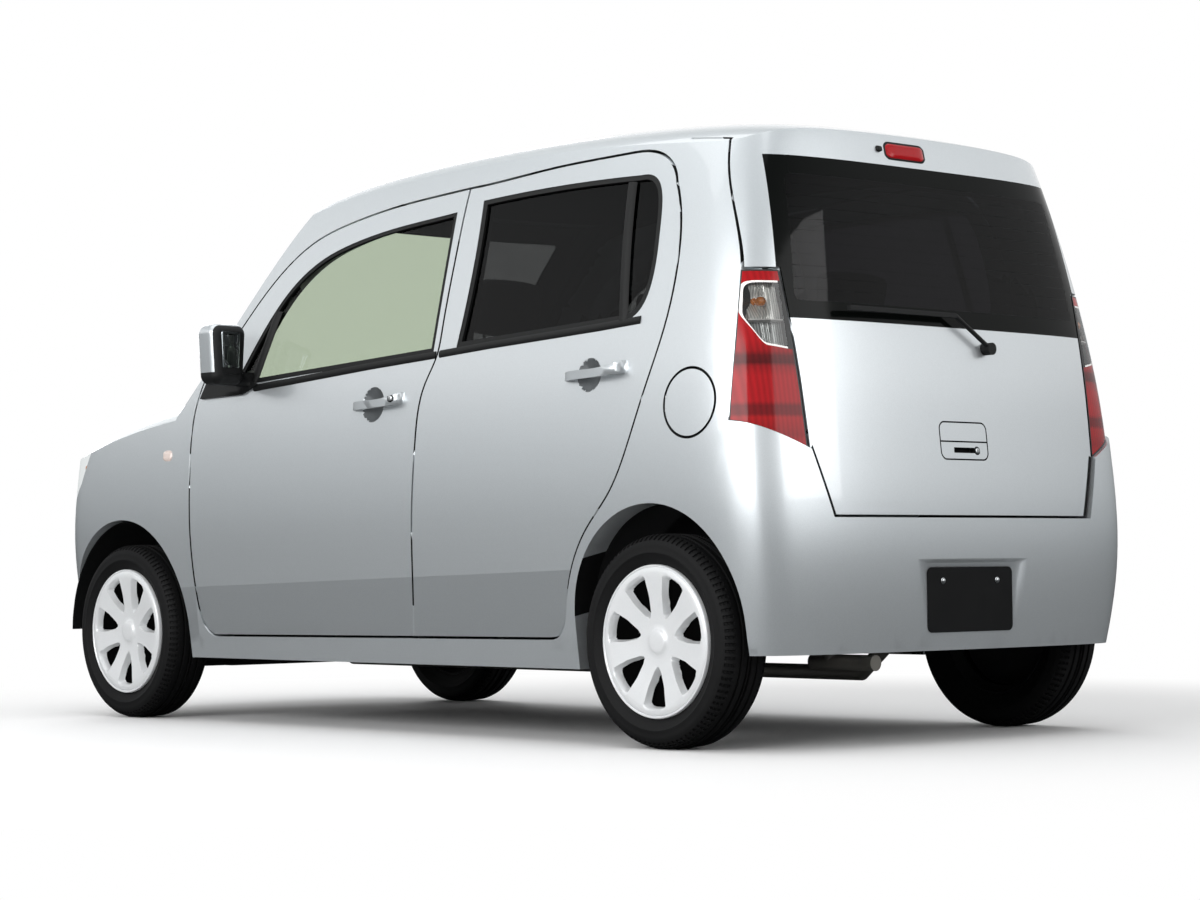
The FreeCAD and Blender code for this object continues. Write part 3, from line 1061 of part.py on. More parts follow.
# Steered knuckles: upright, stub axle and strut on one steering axis.
stub_y = FRONT_TRACK / 2 + DISC_OFFSET - STUB_END
upright_at = Vector(FRONT_AXLE_X, KINGPIN_Y, KNUCKLE_FOOT)
upright = Part.makeCylinder(STRUT_RADIUS, STRUT_TOP - KNUCKLE_FOOT, upright_at)
stub = drum(STUB_RADIUS, FRONT_AXLE_X, TYRE_RADIUS, KINGPIN_Y, stub_y)
spring_at = Vector(FRONT_AXLE_X, KINGPIN_Y, STRUT_TOP - SPRING_LENGTH)
spring = Part.makeCylinder(SPRING_RADIUS, SPRING_LENGTH, spring_at)
knuckle = upright.fuse(stub).fuse(spring)
save("knuckle_left", knuckle)
save("knuckle_right", mirrored(knuckle))

# Front subframe: rails, cross member, lower arms and strut towers.
nose_x = FRONT_AXLE_X + FRONT_OVERHANG - 2 * END_WALL
cross_z = KNUCKLE_FOOT - 2 * LOWER_ARM_RADIUS
arm_at = Vector(FRONT_AXLE_X, RAIL_Y, KNUCKLE_FOOT - LOWER_ARM_RADIUS - SEAT_GAP)
rails = block(BULKHEAD_X + FLOOR_SHEET, nose_x, RAIL_Y, RAIL_Y + RAIL_WIDE, RAIL_Z, RAIL_Z + RAIL_TALL)
arm = Part.makeCylinder(LOWER_ARM_RADIUS, KINGPIN_Y - RAIL_Y + STRUT_RADIUS, arm_at, Vector(0, 1, 0))
hanger = block(FRONT_AXLE_X - RAIL_WIDE, FRONT_AXLE_X + RAIL_WIDE, RAIL_Y, RAIL_Y + RAIL_WIDE,
               cross_z, RAIL_Z)
tower = block(FRONT_AXLE_X - TOWER_HALF, FRONT_AXLE_X + TOWER_HALF, RAIL_Y, KINGPIN_Y + SPRING_RADIUS,
              STRUT_TOP + SEAT_GAP, STRUT_TOP + SEAT_GAP + FLOOR_SHEET)
leg = block(FRONT_AXLE_X - TOWER_HALF, FRONT_AXLE_X + TOWER_HALF, RAIL_Y, RAIL_Y + FLOOR_SHEET, RAIL_Z,
            STRUT_TOP + FLOOR_SHEET / 2)
half_frame = rails.fuse(hanger).fuse(arm).fuse(tower).fuse(leg)
cross = block(FRONT_AXLE_X - RAIL_WIDE, FRONT_AXLE_X + RAIL_WIDE, -RAIL_Y, RAIL_Y, cross_z, KNUCKLE_FOOT)
beam = block(nose_x - RAIL_WIDE, nose_x, -RAIL_Y, RAIL_Y, RAIL_Z, RAIL_Z + RAIL_TALL)
eye_z = RAIL_Z - TOW_EYE_DROP
eye_x = nose_x - TOW_EYE_BACK
eye = drum(TOW_EYE_OUT, eye_x - TOW_EYE_OUT, eye_z, TOW_EYE_Y, TOW_EYE_Y + TOW_EYE_SHEET)
eye = eye.fuse(block(eye_x - 2 * TOW_EYE_OUT, eye_x, TOW_EYE_Y, TOW_EYE_Y + TOW_EYE_SHEET,
                     eye_z, RAIL_Z - SEAT_GAP))
beam = beam.fuse(block(eye_x - 2 * TOW_EYE_OUT, nose_x, -RAIL_Y, RAIL_Y, RAIL_Z, RAIL_Z + RAIL_TALL))
eye = eye.cut(drum(TOW_EYE_RADIUS, eye_x - TOW_EYE_OUT, eye_z, 0.0, RAIL_Y))
frame = half_frame.fuse(mirrored(half_frame)).fuse(cross).fuse(beam)
save("front_subframe", Part.makeCompound([frame, eye]))
save("engine", block(ENGINE_X, ENGINE_X + ENGINE_LONG, -RAIL_Y + SEAT_GAP, RAIL_Y - SEAT_GAP,
                     KNUCKLE_FOOT + SEAT_GAP, ENGINE_TOP))

# Rear axle: a twist beam with trailing arms, hubs and spring seats.
beam_x = REAR_AXLE_X + BEAM_AHEAD
beam = drum(BEAM_RADIUS, beam_x, TYRE_RADIUS, -BEAM_HALF, BEAM_HALF)
rear_stub = REAR_TRACK / 2 + DISC_OFFSET - STUB_END
axle = beam
for side in (-1, 1):
    arm_y = side * BEAM_HALF
    arm = block(REAR_AXLE_X - BEAM_RADIUS, beam_x + ARM_AHEAD, arm_y - BEAM_RADIUS, arm_y + BEAM_RADIUS,
                TYRE_RADIUS - BEAM_RADIUS, TYRE_RADIUS + BEAM_RADIUS)
    stub_at = Vector(REAR_AXLE_X, arm_y, TYRE_RADIUS)
    stub = Part.makeCylinder(STUB_RADIUS, rear_stub - BEAM_HALF, stub_at, Vector(0, side, 0))
    coil_at = Vector(beam_x, side * (BEAM_HALF - SPRING_RADIUS), TYRE_RADIUS)
    coil = Part.makeCylinder(SPRING_RADIUS, REAR_FLOOR_Z - TYRE_RADIUS - SEAT_GAP, coil_at)
    axle = axle.fuse(arm).fuse(stub).fuse(coil)
save("rear_axle", axle)

# Exhaust: silencer across the tail, the pipes ahead of and behind it, and its hangers.
silencer = drum(SILENCER_RADIUS, SILENCER_X, SILENCER_Z, SILENCER_LOW_Y, SILENCER_HIGH_Y)
pipe_y = SILENCER_LOW_Y + SILENCER_RADIUS
joints = [Vector(SILENCER_X, pipe_y, SILENCER_Z),
          Vector(SILENCER_X + SILENCER_RADIUS + DOWNPIPE_RUN, pipe_y, PIPE_Z),
          Vector(ENGINE_X - DOWNPIPE_RUN, pipe_y, PIPE_Z),
          Vector(ENGINE_X - PIPE_RADIUS - SEAT_GAP, pipe_y, PIPE_Z + DOWNPIPE_RUN)]
exhaust = silencer
for start, end in zip(joints[:-1], joints[1:]):
    exhaust = exhaust.fuse(Part.makeCylinder(PIPE_RADIUS, start.distanceToPoint(end), start, end - start))
    exhaust = exhaust.fuse(Part.makeSphere(PIPE_RADIUS, end))
tailpipe_y = SILENCER_HIGH_Y - SILENCER_RADIUS
tailpipe_at = Vector(SILENCER_X + SILENCER_RADIUS, tailpipe_y, TAILPIPE_Z)
tailpipe = Part.makeCylinder(PIPE_RADIUS, SILENCER_RADIUS + TAILPIPE_REACH, tailpipe_at, Vector(-1, 0, 0))
elbow_at = Vector(SILENCER_X, tailpipe_y, TAILPIPE_Z)
elbow = Part.makeCylinder(PIPE_RADIUS, SILENCER_Z - TAILPIPE_Z, elbow_at)
exhaust = exhaust.fuse(tailpipe).fuse(elbow)
for hanger_y in (SILENCER_LOW_Y + HANGER, SILENCER_HIGH_Y - HANGER):
    hanger_low, hanger_high = hanger_y - HANGER / 2, hanger_y + HANGER / 2
    exhaust = exhaust.fuse(block(SILENCER_X - HANGER, SILENCER_X + HANGER, hanger_low, hanger_high,
                                 SILENCER_Z, REAR_FLOOR_Z - SEAT_GAP))
save("exhaust", exhaust)

# Dashboard with the steering wheel on the right, and the seats.
dash_runs = polygon([(along(x), up(z)) for x, z in DASH_SHARES])
dash = side_prism(dash_runs, -DASH_HALF, DASH_HALF)
column = Vector(along(DASH_SHARES[0][0]), DRIVER_Y, up(DASH_SHARES[0][1]))
lean = Vector(-1, 0, COLUMN_LEAN_SHARE)
lean.normalize()
ring_at = column + lean * COLUMN_LENGTH
ring = Part.makeTorus(WHEEL_RING, WHEEL_GRIP, ring_at, lean)
stem = Part.makeCylinder(WHEEL_GRIP * 2, COLUMN_LENGTH * 2, column - lean * COLUMN_LENGTH, lean)
spoke = Part.makeCylinder(WHEEL_GRIP, 2 * WHEEL_RING, ring_at - Vector(0, WHEEL_RING, 0), Vector(0, 1, 0))
save("dashboard", dash.fuse(stem).fuse(ring).fuse(spoke))


def seat(x, y_mid, half, head):
    """A seat's cushion, back and headrest as one plain padded form."""
    cushion = [(x - SEAT_BACK, SEAT_Z), (x + SEAT_LONG, SEAT_Z), (x + SEAT_LONG, SEAT_TOP_Z)]
    cushion += [(x + SEAT_BACK, SEAT_TOP_Z - SEAT_DIP)]
    back = [(x - SEAT_RAKE, SEAT_BACK_Z), (x - SEAT_RAKE - SEAT_BACK, SEAT_BACK_Z)]
    form = side_prism(polygon(cushion + back), y_mid - half, y_mid + half)
    for place in head:
        rest = block(x - SEAT_RAKE - SEAT_BACK, x - SEAT_RAKE, y_mid + place - HEADREST_HALF,
                     y_mid + place + HEADREST_HALF, SEAT_BACK_Z - SEAT_DIP, HEADREST_Z)
        form = form.fuse(rest)
    return form


left_seat = seat(FRONT_SEAT_X, FRONT_SEAT_Y, FRONT_SEAT_HALF, (0.0,))
save("front_seats", Part.makeCompound([left_seat, mirrored(left_seat)]))
save("rear_seat", seat(REAR_SEAT_X, 0.0, REAR_BENCH_HALF, (-FRONT_SEAT_Y, FRONT_SEAT_Y)))
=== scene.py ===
import json
import math

import bmesh
import bpy
from mathutils import Matrix, Vector
from mathutils.bvhtree import BVHTree
from mathutils.interpolate import poly_3d_calc


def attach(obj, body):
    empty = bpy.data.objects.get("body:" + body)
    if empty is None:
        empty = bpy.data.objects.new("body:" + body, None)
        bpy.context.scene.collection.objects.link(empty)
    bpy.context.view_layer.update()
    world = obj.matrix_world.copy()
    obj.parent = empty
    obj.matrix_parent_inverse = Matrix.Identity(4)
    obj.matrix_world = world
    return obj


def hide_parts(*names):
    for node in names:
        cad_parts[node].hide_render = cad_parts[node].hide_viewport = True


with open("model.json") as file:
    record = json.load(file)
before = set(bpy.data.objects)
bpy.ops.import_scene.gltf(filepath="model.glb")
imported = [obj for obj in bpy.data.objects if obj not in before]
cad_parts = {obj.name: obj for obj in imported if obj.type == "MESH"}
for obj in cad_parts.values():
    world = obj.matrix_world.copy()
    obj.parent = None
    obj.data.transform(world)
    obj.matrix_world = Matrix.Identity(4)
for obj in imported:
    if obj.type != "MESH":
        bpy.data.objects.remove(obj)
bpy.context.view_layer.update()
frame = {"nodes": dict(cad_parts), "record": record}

# The studio: a pale floor that fades to white, a white world for the camera and for gloss,
# four broad soft lamps above and round the car, and the camera low behind its left rear corner.
FLOOR_HALF, FADE_FROM, FADE_TO = 30.0, 1.9, 3.6
WORLD_GLOSS, WORLD_SOFT = 1.08, 0.42
SKY = ((0.0, "#5C6062"), (0.10, "#A4A8AA"), (0.24, "#FFFFFF"), (0.42, "#F2F4F5"), (0.60, "#BBBFC1"),
       (0.85, "#A2A6A8"))
CAMERA_AT = (-6.4612, 5.5648, 0.463)
CAMERA_YAW, CAMERA_PITCH, CAMERA_ROLL = -0.7322, 0.0404, -0.0096
CAMERA_LENS, CAMERA_SENSOR = 85.18, 36.0
LAMPS = (
    ("top_lamp", (-0.3, 0.6, 4.6), (0.0, 0.0, 0.4), (7.0, 5.0), 120.0),
    ("side_lamp", (-1.5, 6.5, 2.6), (0.0, 0.0, 0.9), (6.0, 2.4), 285.0),
    ("rear_lamp", (-7.0, -1.5, 2.8), (-1.5, 0.0, 0.9), (4.0, 2.6), 90.0),
    ("front_lamp", (6.5, -3.0, 3.0), (1.0, 0.0, 0.8), (4.0, 3.0), 130.0),
)


def linear(code):
    """An sRGB hex colour as linear red, green, blue and one."""
    parts = [int(code[i:i + 2], 16) / 255 for i in (1, 3, 5)]
    return tuple(c / 12.92 if c <= 0.04045 else ((c + 0.055) / 1.055) ** 2.4 for c in parts) + (1.0,)


def add(nodes, kind, links=None, **values):
    """Adds a node. Values name its settings or sockets, and a node's output given as a value is linked."""
    node = nodes.new(kind)
    wires = nodes.id_data.links
    for key, value in values.items():
        if hasattr(node, key):
            setattr(node, key, value)
    for key, value in (links or {}).items():
        socket = node.inputs[key]
        if isinstance(value, bpy.types.NodeSocket):
            wires.new(value, socket)
        else:
            socket.default_value = value
    return node


def fill_ramp(ramp, stops):
    """Sets a colour ramp to a list of (place, sRGB hex) stops, in order."""
    for stop, (at, code) in zip((ramp.elements[0], ramp.elements[-1]), (stops[0], stops[-1])):
        stop.position, stop.color = at, linear(code)
    for at, code in stops[1:-1]:
        ramp.elements.new(at).color = linear(code)


def new_material(name):
    """A material and its nodes, which are none yet."""
    material = bpy.data.materials.new(name)
    material.use_nodes = True
    material.node_tree.nodes.clear()
    return material, material.node_tree.nodes


world = bpy.data.worlds.new("studio")
bpy.context.scene.world = world
world.use_nodes = True
nodes = world.node_tree.nodes
nodes.clear()
rays = add(nodes, "ShaderNodeLightPath")
seen = add(nodes, "ShaderNodeMath",
           {0: rays.outputs["Is Camera Ray"], 1: rays.outputs["Is Transmission Ray"]}, operation="MAXIMUM")
way = add(nodes, "ShaderNodeTexCoord")
height = add(nodes, "ShaderNodeSeparateXYZ", {0: way.outputs["Generated"]})
sky = add(nodes, "ShaderNodeValToRGB", {0: height.outputs["Z"]})
fill_ramp(sky.color_ramp, SKY)
glossy = add(nodes, "ShaderNodeBackground", {"Color": sky.outputs[0], "Strength": WORLD_GLOSS})
soft = add(nodes, "ShaderNodeBackground", {"Color": linear("#FFFFFF"), "Strength": WORLD_SOFT})
white = add(nodes, "ShaderNodeBackground", {"Color": linear("#FFFFFF"), "Strength": 1.0})
lit = add(nodes, "ShaderNodeMixShader",
          {0: rays.outputs["Is Glossy Ray"], 1: soft.outputs[0], 2: glossy.outputs[0]})
whole = add(nodes, "ShaderNodeMixShader", {0: seen.outputs[0], 1: lit.outputs[0], 2: white.outputs[0]})
add(nodes, "ShaderNodeOutputWorld", {"Surface": whole.outputs[0]})

floor_bm = bmesh.new()
bmesh.ops.create_grid(floor_bm, x_segments=1, y_segments=1, size=FLOOR_HALF)
floor_mesh = bpy.data.meshes.new("studio_floor")
floor_bm.to_mesh(floor_mesh)
floor_bm.free()
floor = bpy.data.objects.new("studio_floor", floor_mesh)
bpy.context.scene.collection.objects.link(floor)
material, nodes = new_material("studio_floor")
where = add(nodes, "ShaderNodeTexCoord")
far = add(nodes, "ShaderNodeVectorMath", {0: where.outputs["Object"]}, operation="LENGTH")
fade = add(nodes, "ShaderNodeMapRange", {"Value": far.outputs["Value"], "From Min": FADE_FROM,
           "From Max": FADE_TO}, interpolation_type="SMOOTHSTEP")
rays = add(nodes, "ShaderNodeLightPath")
seen = add(nodes, "ShaderNodeMath",
           {0: rays.outputs["Is Camera Ray"], 1: rays.outputs["Is Transmission Ray"]}, operation="MAXIMUM")
share = add(nodes, "ShaderNodeMath", {0: fade.outputs[0], 1: seen.outputs[0]}, operation="MULTIPLY")
tone = add(nodes, "ShaderNodeMix", {"Factor": rays.outputs["Is Glossy Ray"], "A": linear("#F4F4F4"),
           "B": linear("#404345")}, data_type="RGBA")
paint = add(nodes, "ShaderNodeBsdfPrincipled", {"Base Color": tone.outputs["Result"], "Roughness": 0.8})
glow = add(nodes, "ShaderNodeEmission", {"Color": linear("#FFFFFF"), "Strength": 1.0})
mix = add(nodes, "ShaderNodeMixShader", {0: share.outputs[0], 1: paint.outputs[0], 2: glow.outputs[0]})
add(nodes, "ShaderNodeOutputMaterial", {"Surface": mix.outputs[0]})
floor_mesh.materials.append(material)

for name, place, target, size, power in LAMPS:
    data = bpy.data.lights.new(name, "AREA")
    data.shape, data.size, data.size_y, data.energy = "RECTANGLE", size[0], size[1], power
    lamp = bpy.data.objects.new(name, data)
    lamp.location = place
    lamp.rotation_euler = (Vector(target) - Vector(place)).to_track_quat("-Z", "Y").to_euler()
    bpy.context.scene.collection.objects.link(lamp)

ahead = Vector((math.cos(CAMERA_YAW) * math.cos(CAMERA_PITCH), math.sin(CAMERA_YAW) * math.cos(CAMERA_PITCH),
                math.sin(CAMERA_PITCH)))
level = Vector((math.sin(CAMERA_YAW), -math.cos(CAMERA_YAW), 0.0))
upright = level.cross(ahead)
right = math.cos(CAMERA_ROLL) * level + math.sin(CAMERA_ROLL) * upright
over = -math.sin(CAMERA_ROLL) * level + math.cos(CAMERA_ROLL) * upright
camera_data = bpy.data.cameras.new("camera")
camera_data.lens, camera_data.sensor_width, camera_data.clip_end = CAMERA_LENS, CAMERA_SENSOR, 200.0
camera = bpy.data.objects.new("camera", camera_data)
camera.matrix_world = Matrix.Translation(CAMERA_AT) @ Matrix((right, over, -ahead)).transposed().to_4x4()
bpy.context.scene.collection.objects.link(camera)
bpy.context.scene.camera = camera
bpy.context.scene.view_settings.view_transform = "Standard"

# Body shell, doors, bonnet and tailgate: pressed steel panels in a cool light silver metallic with
# a clear coat, so a fine flake under a glossy lacquer. Each is a merged copy of its CAD panel, and
# its shading follows the pressing's smooth surfaces, drawn here from the same rows as the solids.
SIDES = (("left", 1), ("right", -1))
PAINTED = ("side_left", "side_right", "roof", "front_fenders", "front_bumper", "rear_bumper", "bonnet",
           "tailgate", "fuel_lid", "door_front_left", "door_front_right", "door_rear_left", "door_rear_right")
FLAKE = 0.0011
SHARP_PANEL = math.radians(32)
LENGTH, HALF_WIDTH, HEIGHT, WHEELBASE, REAR_OVERHANG = 3.395, 0.7375, 1.640, 2.425, 0.435
REAR_AXLE_X = REAR_OVERHANG - LENGTH / 2
FRONT_AXLE_X = REAR_AXLE_X + WHEELBASE
FRONT_OVERHANG = LENGTH - WHEELBASE - REAR_OVERHANG
BODY_ROWS = (
    (0.108, 0.945, 0.887, 0.850), (0.159, 0.960, 0.925, 0.930), (0.232, 0.979, 0.968, 0.985),
    (0.305, 0.994, 0.976, 1.003), (0.378, 1.001, 0.960, 0.997), (0.463, 0.997, 0.926, 0.960),
    (0.549, 0.984, 0.892, 0.930), (0.622, 0.964, 0.851, 0.910), (0.720, 0.926, 0.793, 0.900),
    (0.829, 0.869, 0.720, 0.890), (0.927, 0.806, 0.640, 0.890), (1.060, 0.700, 0.530, 0.890),
)
TAIL_CORNER = ((0.0, 0.42), (0.07, 0.74), (0.27, 0.965), (1.0, 0.995))
FLANK = ((0.12, 1.0), (0.45, 1.0), (0.80, 1.0))
NOSE_CORNER = ((1.0, 0.997), (0.45, 0.955), (0.13, 0.66), (0.0, 0.34))
TAIL_CORNER_LONG, NOSE_CORNER_LONG, BUMPER_SWELL = 0.205, 0.340, 0.0125
ROOF = (
    ((1.320, 0.760), (1.050, 0.820), (0.880, 0.872), (0.804, 0.904), (0.722, 0.950), (0.639, 0.981),
     (0.495, 0.997), (0.330, 1.002), (0.165, 0.999), (0.041, 0.989), (-0.033, 0.979), (-0.082, 0.969),
     (-0.124, 0.952), (-0.173, 0.921), (-0.210, 0.890)),
    ((0.0, 0.0), (0.40, 0.03), (0.70, 0.12), (0.88, 0.34), (1.0, 0.86), (1.12, 1.7), (1.32, 2.9)),
    0.600, 0.100, 0.0)
SCREEN = (
    ((0.985, 0.563), (0.944, 0.613), (0.858, 0.732), (0.775, 0.845), (0.718, 0.915), (0.660, 0.970),
     (0.598, 1.015), (0.500, 1.080), (0.200, 1.200), (-0.210, 1.300)),
    ((0.0, 0.0), (0.40, 0.06), (0.70, 0.28), (0.88, 0.62), (1.0, 1.0), (1.10, 1.4), (1.25, 1.9)),
    0.640, 0.0, 0.175)
BONNET = (
    ((0.780, 0.634), (0.860, 0.627), (0.930, 0.616), (1.000, 0.600), (1.070, 0.578), (1.140, 0.541),
     (1.192, 0.494), (1.222, 0.425), (1.250, 0.350)),
    ((0.0, 0.0), (0.35, 0.03), (0.65, 0.12), (0.84, 0.34), (0.95, 0.85), (1.06, 1.9)),
    0.745, 0.095, 0.0)
# The doors are shaded as if pressed in below a straight crease near their feet: their normals there turn a
# little downwards, while their shape stays as it is.
CREASED = ("door_front_left", "door_front_right", "door_rear_left", "door_rear_right", "front_fenders")
CREASE_Z, CREASE_FALL, CREASE_TURN, CREASE_END, FLANK_FACING = 0.4266, 0.0248, 0.36, 0.86, 0.8
# Doubles closer than this are merged. A face follows a surface that all its corners lie this near to.
MERGE = 0.00002
SKIN_REACH, SKIN_AGREE = 0.0016, 0.80
CABIN_MIDDLE = Vector((0.0, 0.0, 0.85))
# The tailgate's lower side edges, where a band of its own faces is painted black as a painted shade of a
# wide gap to the bumper: their slope, their place and the band's top, and how wide the band is.
GAP_BAND_SLOPE, GAP_BAND_PLACE, GAP_BAND_TOP, GAP_BAND_WIDE = 0.3368, 0.2953, 0.745, 0.011
# A face whose corners are all this deep is on the lining side. A wall of a shut line spans more than
# WALL_SPAN in depth and stands across the skin; the sill's foot and the roof rail's top aren't shut lines.
LINING_DEPTH, WALL_SPAN, WALL_LEAN = 0.016, 0.0045, 0.6
SILL_TOP, DOWNWARD, RAIL_FOOT, UPWARD = 0.34, -0.85, 1.5, 0.5


def skin_tree(rows, closed):
    """The smooth surface through rows of poles: its search tree, faces and corner normals."""
    data = bpy.data.curves.new("skin", "SURFACE")
    data.dimensions = "3D"
    for row in rows:
        line = data.splines.new("NURBS")
        line.points.add(len(row) - 1)
        for point, place in zip(line.points, row):
            point.co = (*place, 1.0)
    skin = bpy.data.objects.new("skin", data)
    bpy.context.scene.collection.objects.link(skin)
    bpy.context.view_layer.objects.active = skin
    for line in data.splines:
        for point in line.points:
            point.select = True
    bpy.ops.object.mode_set(mode="EDIT")
    bpy.ops.curve.make_segment()
    bpy.ops.object.mode_set(mode="OBJECT")
    sheet = data.splines[0]
    sheet.order_u = sheet.order_v = 4
    sheet.use_cyclic_u, sheet.use_endpoint_u = closed, not closed
    sheet.use_endpoint_v = True
    sheet.resolution_u = sheet.resolution_v = 10
    bpy.context.view_layer.update()
    mesh = bpy.data.meshes.new_from_object(skin.evaluated_get(bpy.context.evaluated_depsgraph_get()))
    bpy.data.objects.remove(skin)
    return mesh


def body_rows(swell=0.0):
    rows = []
    for height, wide, tail, nose in BODY_ROWS:
        half = wide * HALF_WIDTH
        tail_x = REAR_AXLE_X - tail * REAR_OVERHANG - swell
        nose_x = FRONT_AXLE_X + nose * FRONT_OVERHANG
        side = [(tail_x, 0.0)] + [(tail_x + run * TAIL_CORNER_LONG, part * half) for run, part in TAIL_CORNER]
        side += [(REAR_AXLE_X + run * WHEELBASE, part * half) for run, part in FLANK]
        side += [(nose_x - run * NOSE_CORNER_LONG, part * half) for run, part in NOSE_CORNER]
        side.append((nose_x, 0.0))
        rows.append([(x, y, height * HEIGHT) for x, y in side + [(x, -y) for x, y in side[-2:0:-1]]])
    return rows


def lid_rows(profile, section, half, drop, bow):
    sides = [(-y, fall) for y, fall in section[:0:-1]] + list(section)
    return [[(REAR_AXLE_X + x * WHEELBASE - fall * bow, y * half, z * HEIGHT - fall * drop)
             for y, fall in sides] for x, z in profile]


def searchable(mesh):
    """A search tree over a smooth surface, with its corner normals."""
    tree = BVHTree.FromPolygons([v.co for v in mesh.vertices], [p.vertices for p in mesh.polygons])
    smooth = [v.normal.copy() for v in mesh.vertices]
    return tree, mesh, smooth


def surface_normal(skin, place, facing):
    """How far a place is inside a smooth surface (negative outside), and the normal on the facing side."""
    tree, mesh, smooth = skin
    half = -1.0 if place.y < 0 else 1.0
    flip = Vector((1.0, half, 1.0))
    spot, flat, index, gap = tree.find_nearest(place * flip)
    if (place * flip - spot).dot(spot - CABIN_MIDDLE) > 0:
        gap = -gap
    corners = mesh.polygons[index].vertices
    weights = poly_3d_calc([mesh.vertices[i].co for i in corners], spot)
    normal = sum((smooth[i] * w for i, w in zip(corners, weights)), Vector())
    if normal.length < 1e-6:
        normal = flat
    normal = normal.normalized() * flip
    return gap, normal if normal.dot(facing) > 0 else -normal


skins = [searchable(skin_tree(*rows)) for rows in (
    (body_rows(), True), (body_rows(BUMPER_SWELL), True),
    (lid_rows(*ROOF), False), (lid_rows(*SCREEN), False), (lid_rows(*BONNET), False))]


def follow_skins(mesh):
    """Shades the faces on a smooth surface as it, and lists the lining side's faces and the walls."""
    kept = [tuple(n.vector) for n in mesh.corner_normals]
    found = {}
    inner, walls = [], []
    for face in mesh.polygons:
        depth, upright = [], []
        low = face.center.z + face.center.x * CREASE_FALL < CREASE_Z and face.center.x < CREASE_END
        creased = low and mesh.name.removeprefix("painted_") in CREASED
        for corner in face.loop_indices:
            point = mesh.loops[corner].vertex_index
            best = None
            for number, skin in enumerate(skins):
                if (point, number) not in found:
                    found[point, number] = surface_normal(skin, mesh.vertices[point].co, face.normal)
                gap, normal = found[point, number]
                agree = abs(normal.dot(face.normal))
                if abs(gap) < SKIN_REACH and agree > SKIN_AGREE and (best is None or agree > best[0]):
                    outward = normal if normal.dot(face.normal) > 0 else -normal
                    if creased and abs(outward.y) > FLANK_FACING:
                        outward = (outward - Vector((0.0, 0.0, CREASE_TURN))).normalized()
                    best = (agree, outward)
            gap, normal = min((found[point, number] for number in range(len(skins))),
                              key=lambda pair: abs(pair[0]))
            depth.append(gap)
            upright.append(abs(normal.dot(face.normal)))
            if best:
                kept[corner] = tuple(best[1])
        if min(depth) > LINING_DEPTH:
            inner.append(face.index)
        elif max(depth) - min(depth) > WALL_SPAN and min(upright) < WALL_LEAN and min(depth) > -SKIN_REACH:
            on_sill = face.center.z < SILL_TOP and face.normal.z > DOWNWARD
            on_rail = face.center.z > RAIL_FOOT and face.normal.z > UPWARD
            if not on_sill and not on_rail:
                walls.append(face.index)
    mesh.normals_split_custom_set(kept)
    return inner, walls


def node_body(name):
    """The body that a CAD node rides on."""
    return next(body for body, names in frame["record"]["behaviour"]["bodies"].items() if name in names)


def merged(node, name):
    """A smooth-shaded copy of a CAD node with its doubles merged, in place of the node."""
    bm = bmesh.new()
    bm.from_mesh(frame["nodes"][node].data)
    bmesh.ops.remove_doubles(bm, verts=bm.verts, dist=MERGE)
    bmesh.ops.dissolve_degenerate(bm, edges=bm.edges, dist=MERGE / 2)
    if node in CREASED:
        bmesh.ops.bisect_plane(bm, geom=bm.verts[:] + bm.edges[:] + bm.faces[:],
                               plane_co=(0.0, 0.0, CREASE_Z), plane_no=(CREASE_FALL, 0.0, 1.0))
    if node == "tailgate":
        for side in (1, -1):
            bmesh.ops.bisect_plane(bm, geom=bm.verts[:] + bm.edges[:] + bm.faces[:],
                                   plane_co=(0.0, side * (GAP_BAND_PLACE - GAP_BAND_WIDE), 0.0),
                                   plane_no=(0.0, side, -GAP_BAND_SLOPE))
    mesh = bpy.data.meshes.new(name)
    bm.to_mesh(mesh)
    bm.free()
    mesh.materials.clear()
    mesh.shade_smooth()
    mesh.set_sharp_from_angle(angle=SHARP_PANEL)
    inner, walls = follow_skins(mesh)
    piece = bpy.data.objects.new(name, mesh)
    bpy.context.scene.collection.objects.link(piece)
    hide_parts(node)
    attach(piece, node_body(node))
    return piece, inner, walls


silver, nodes = new_material("silver_clear_coat")
where = add(nodes, "ShaderNodeTexCoord")
flakes = add(nodes, "ShaderNodeTexVoronoi", {"Vector": where.outputs["Object"], "Scale": 1.0 / FLAKE})
tone = add(nodes, "ShaderNodeMapRange", {"Value": flakes.outputs["Color"], "To Min": 0.94, "To Max": 1.05})
colour = add(nodes, "ShaderNodeVectorMath", {0: linear("#CBD0D3")[:3], "Scale": tone.outputs[0]},
             operation="SCALE")
shine = add(nodes, "ShaderNodeMapRange", {"Value": flakes.outputs["Distance"], "To Min": 0.30,
                                          "To Max": 0.38})
shell = add(nodes, "ShaderNodeBsdfPrincipled", {"Base Color": colour.outputs[0], "Metallic": 0.72,
            "Roughness": shine.outputs[0], "Coat Weight": 1.0, "Coat Roughness": 0.04, "Coat IOR": 1.5})
add(nodes, "ShaderNodeOutputMaterial", {"Surface": shell.outputs[0]})

# The inner side of the panels: door, pillar and roof linings of dark grey moulded polypropylene with a
# fine leather grain, a dull surface that shows through the windows and round an open door. A noise or cell
# pattern repeats Scale times in a metre, so 620 is a grain 1.6 mm wide, and a wave 3.2 times Scale.
NOISE, CELLS = ("ShaderNodeTexNoise", "Fac", {}), ("ShaderNodeTexVoronoi", "Distance", {})
RIBS_ACROSS, RIBS_ALONG = (("ShaderNodeTexWave", "Fac", {"bands_direction": way}) for way in "YX")


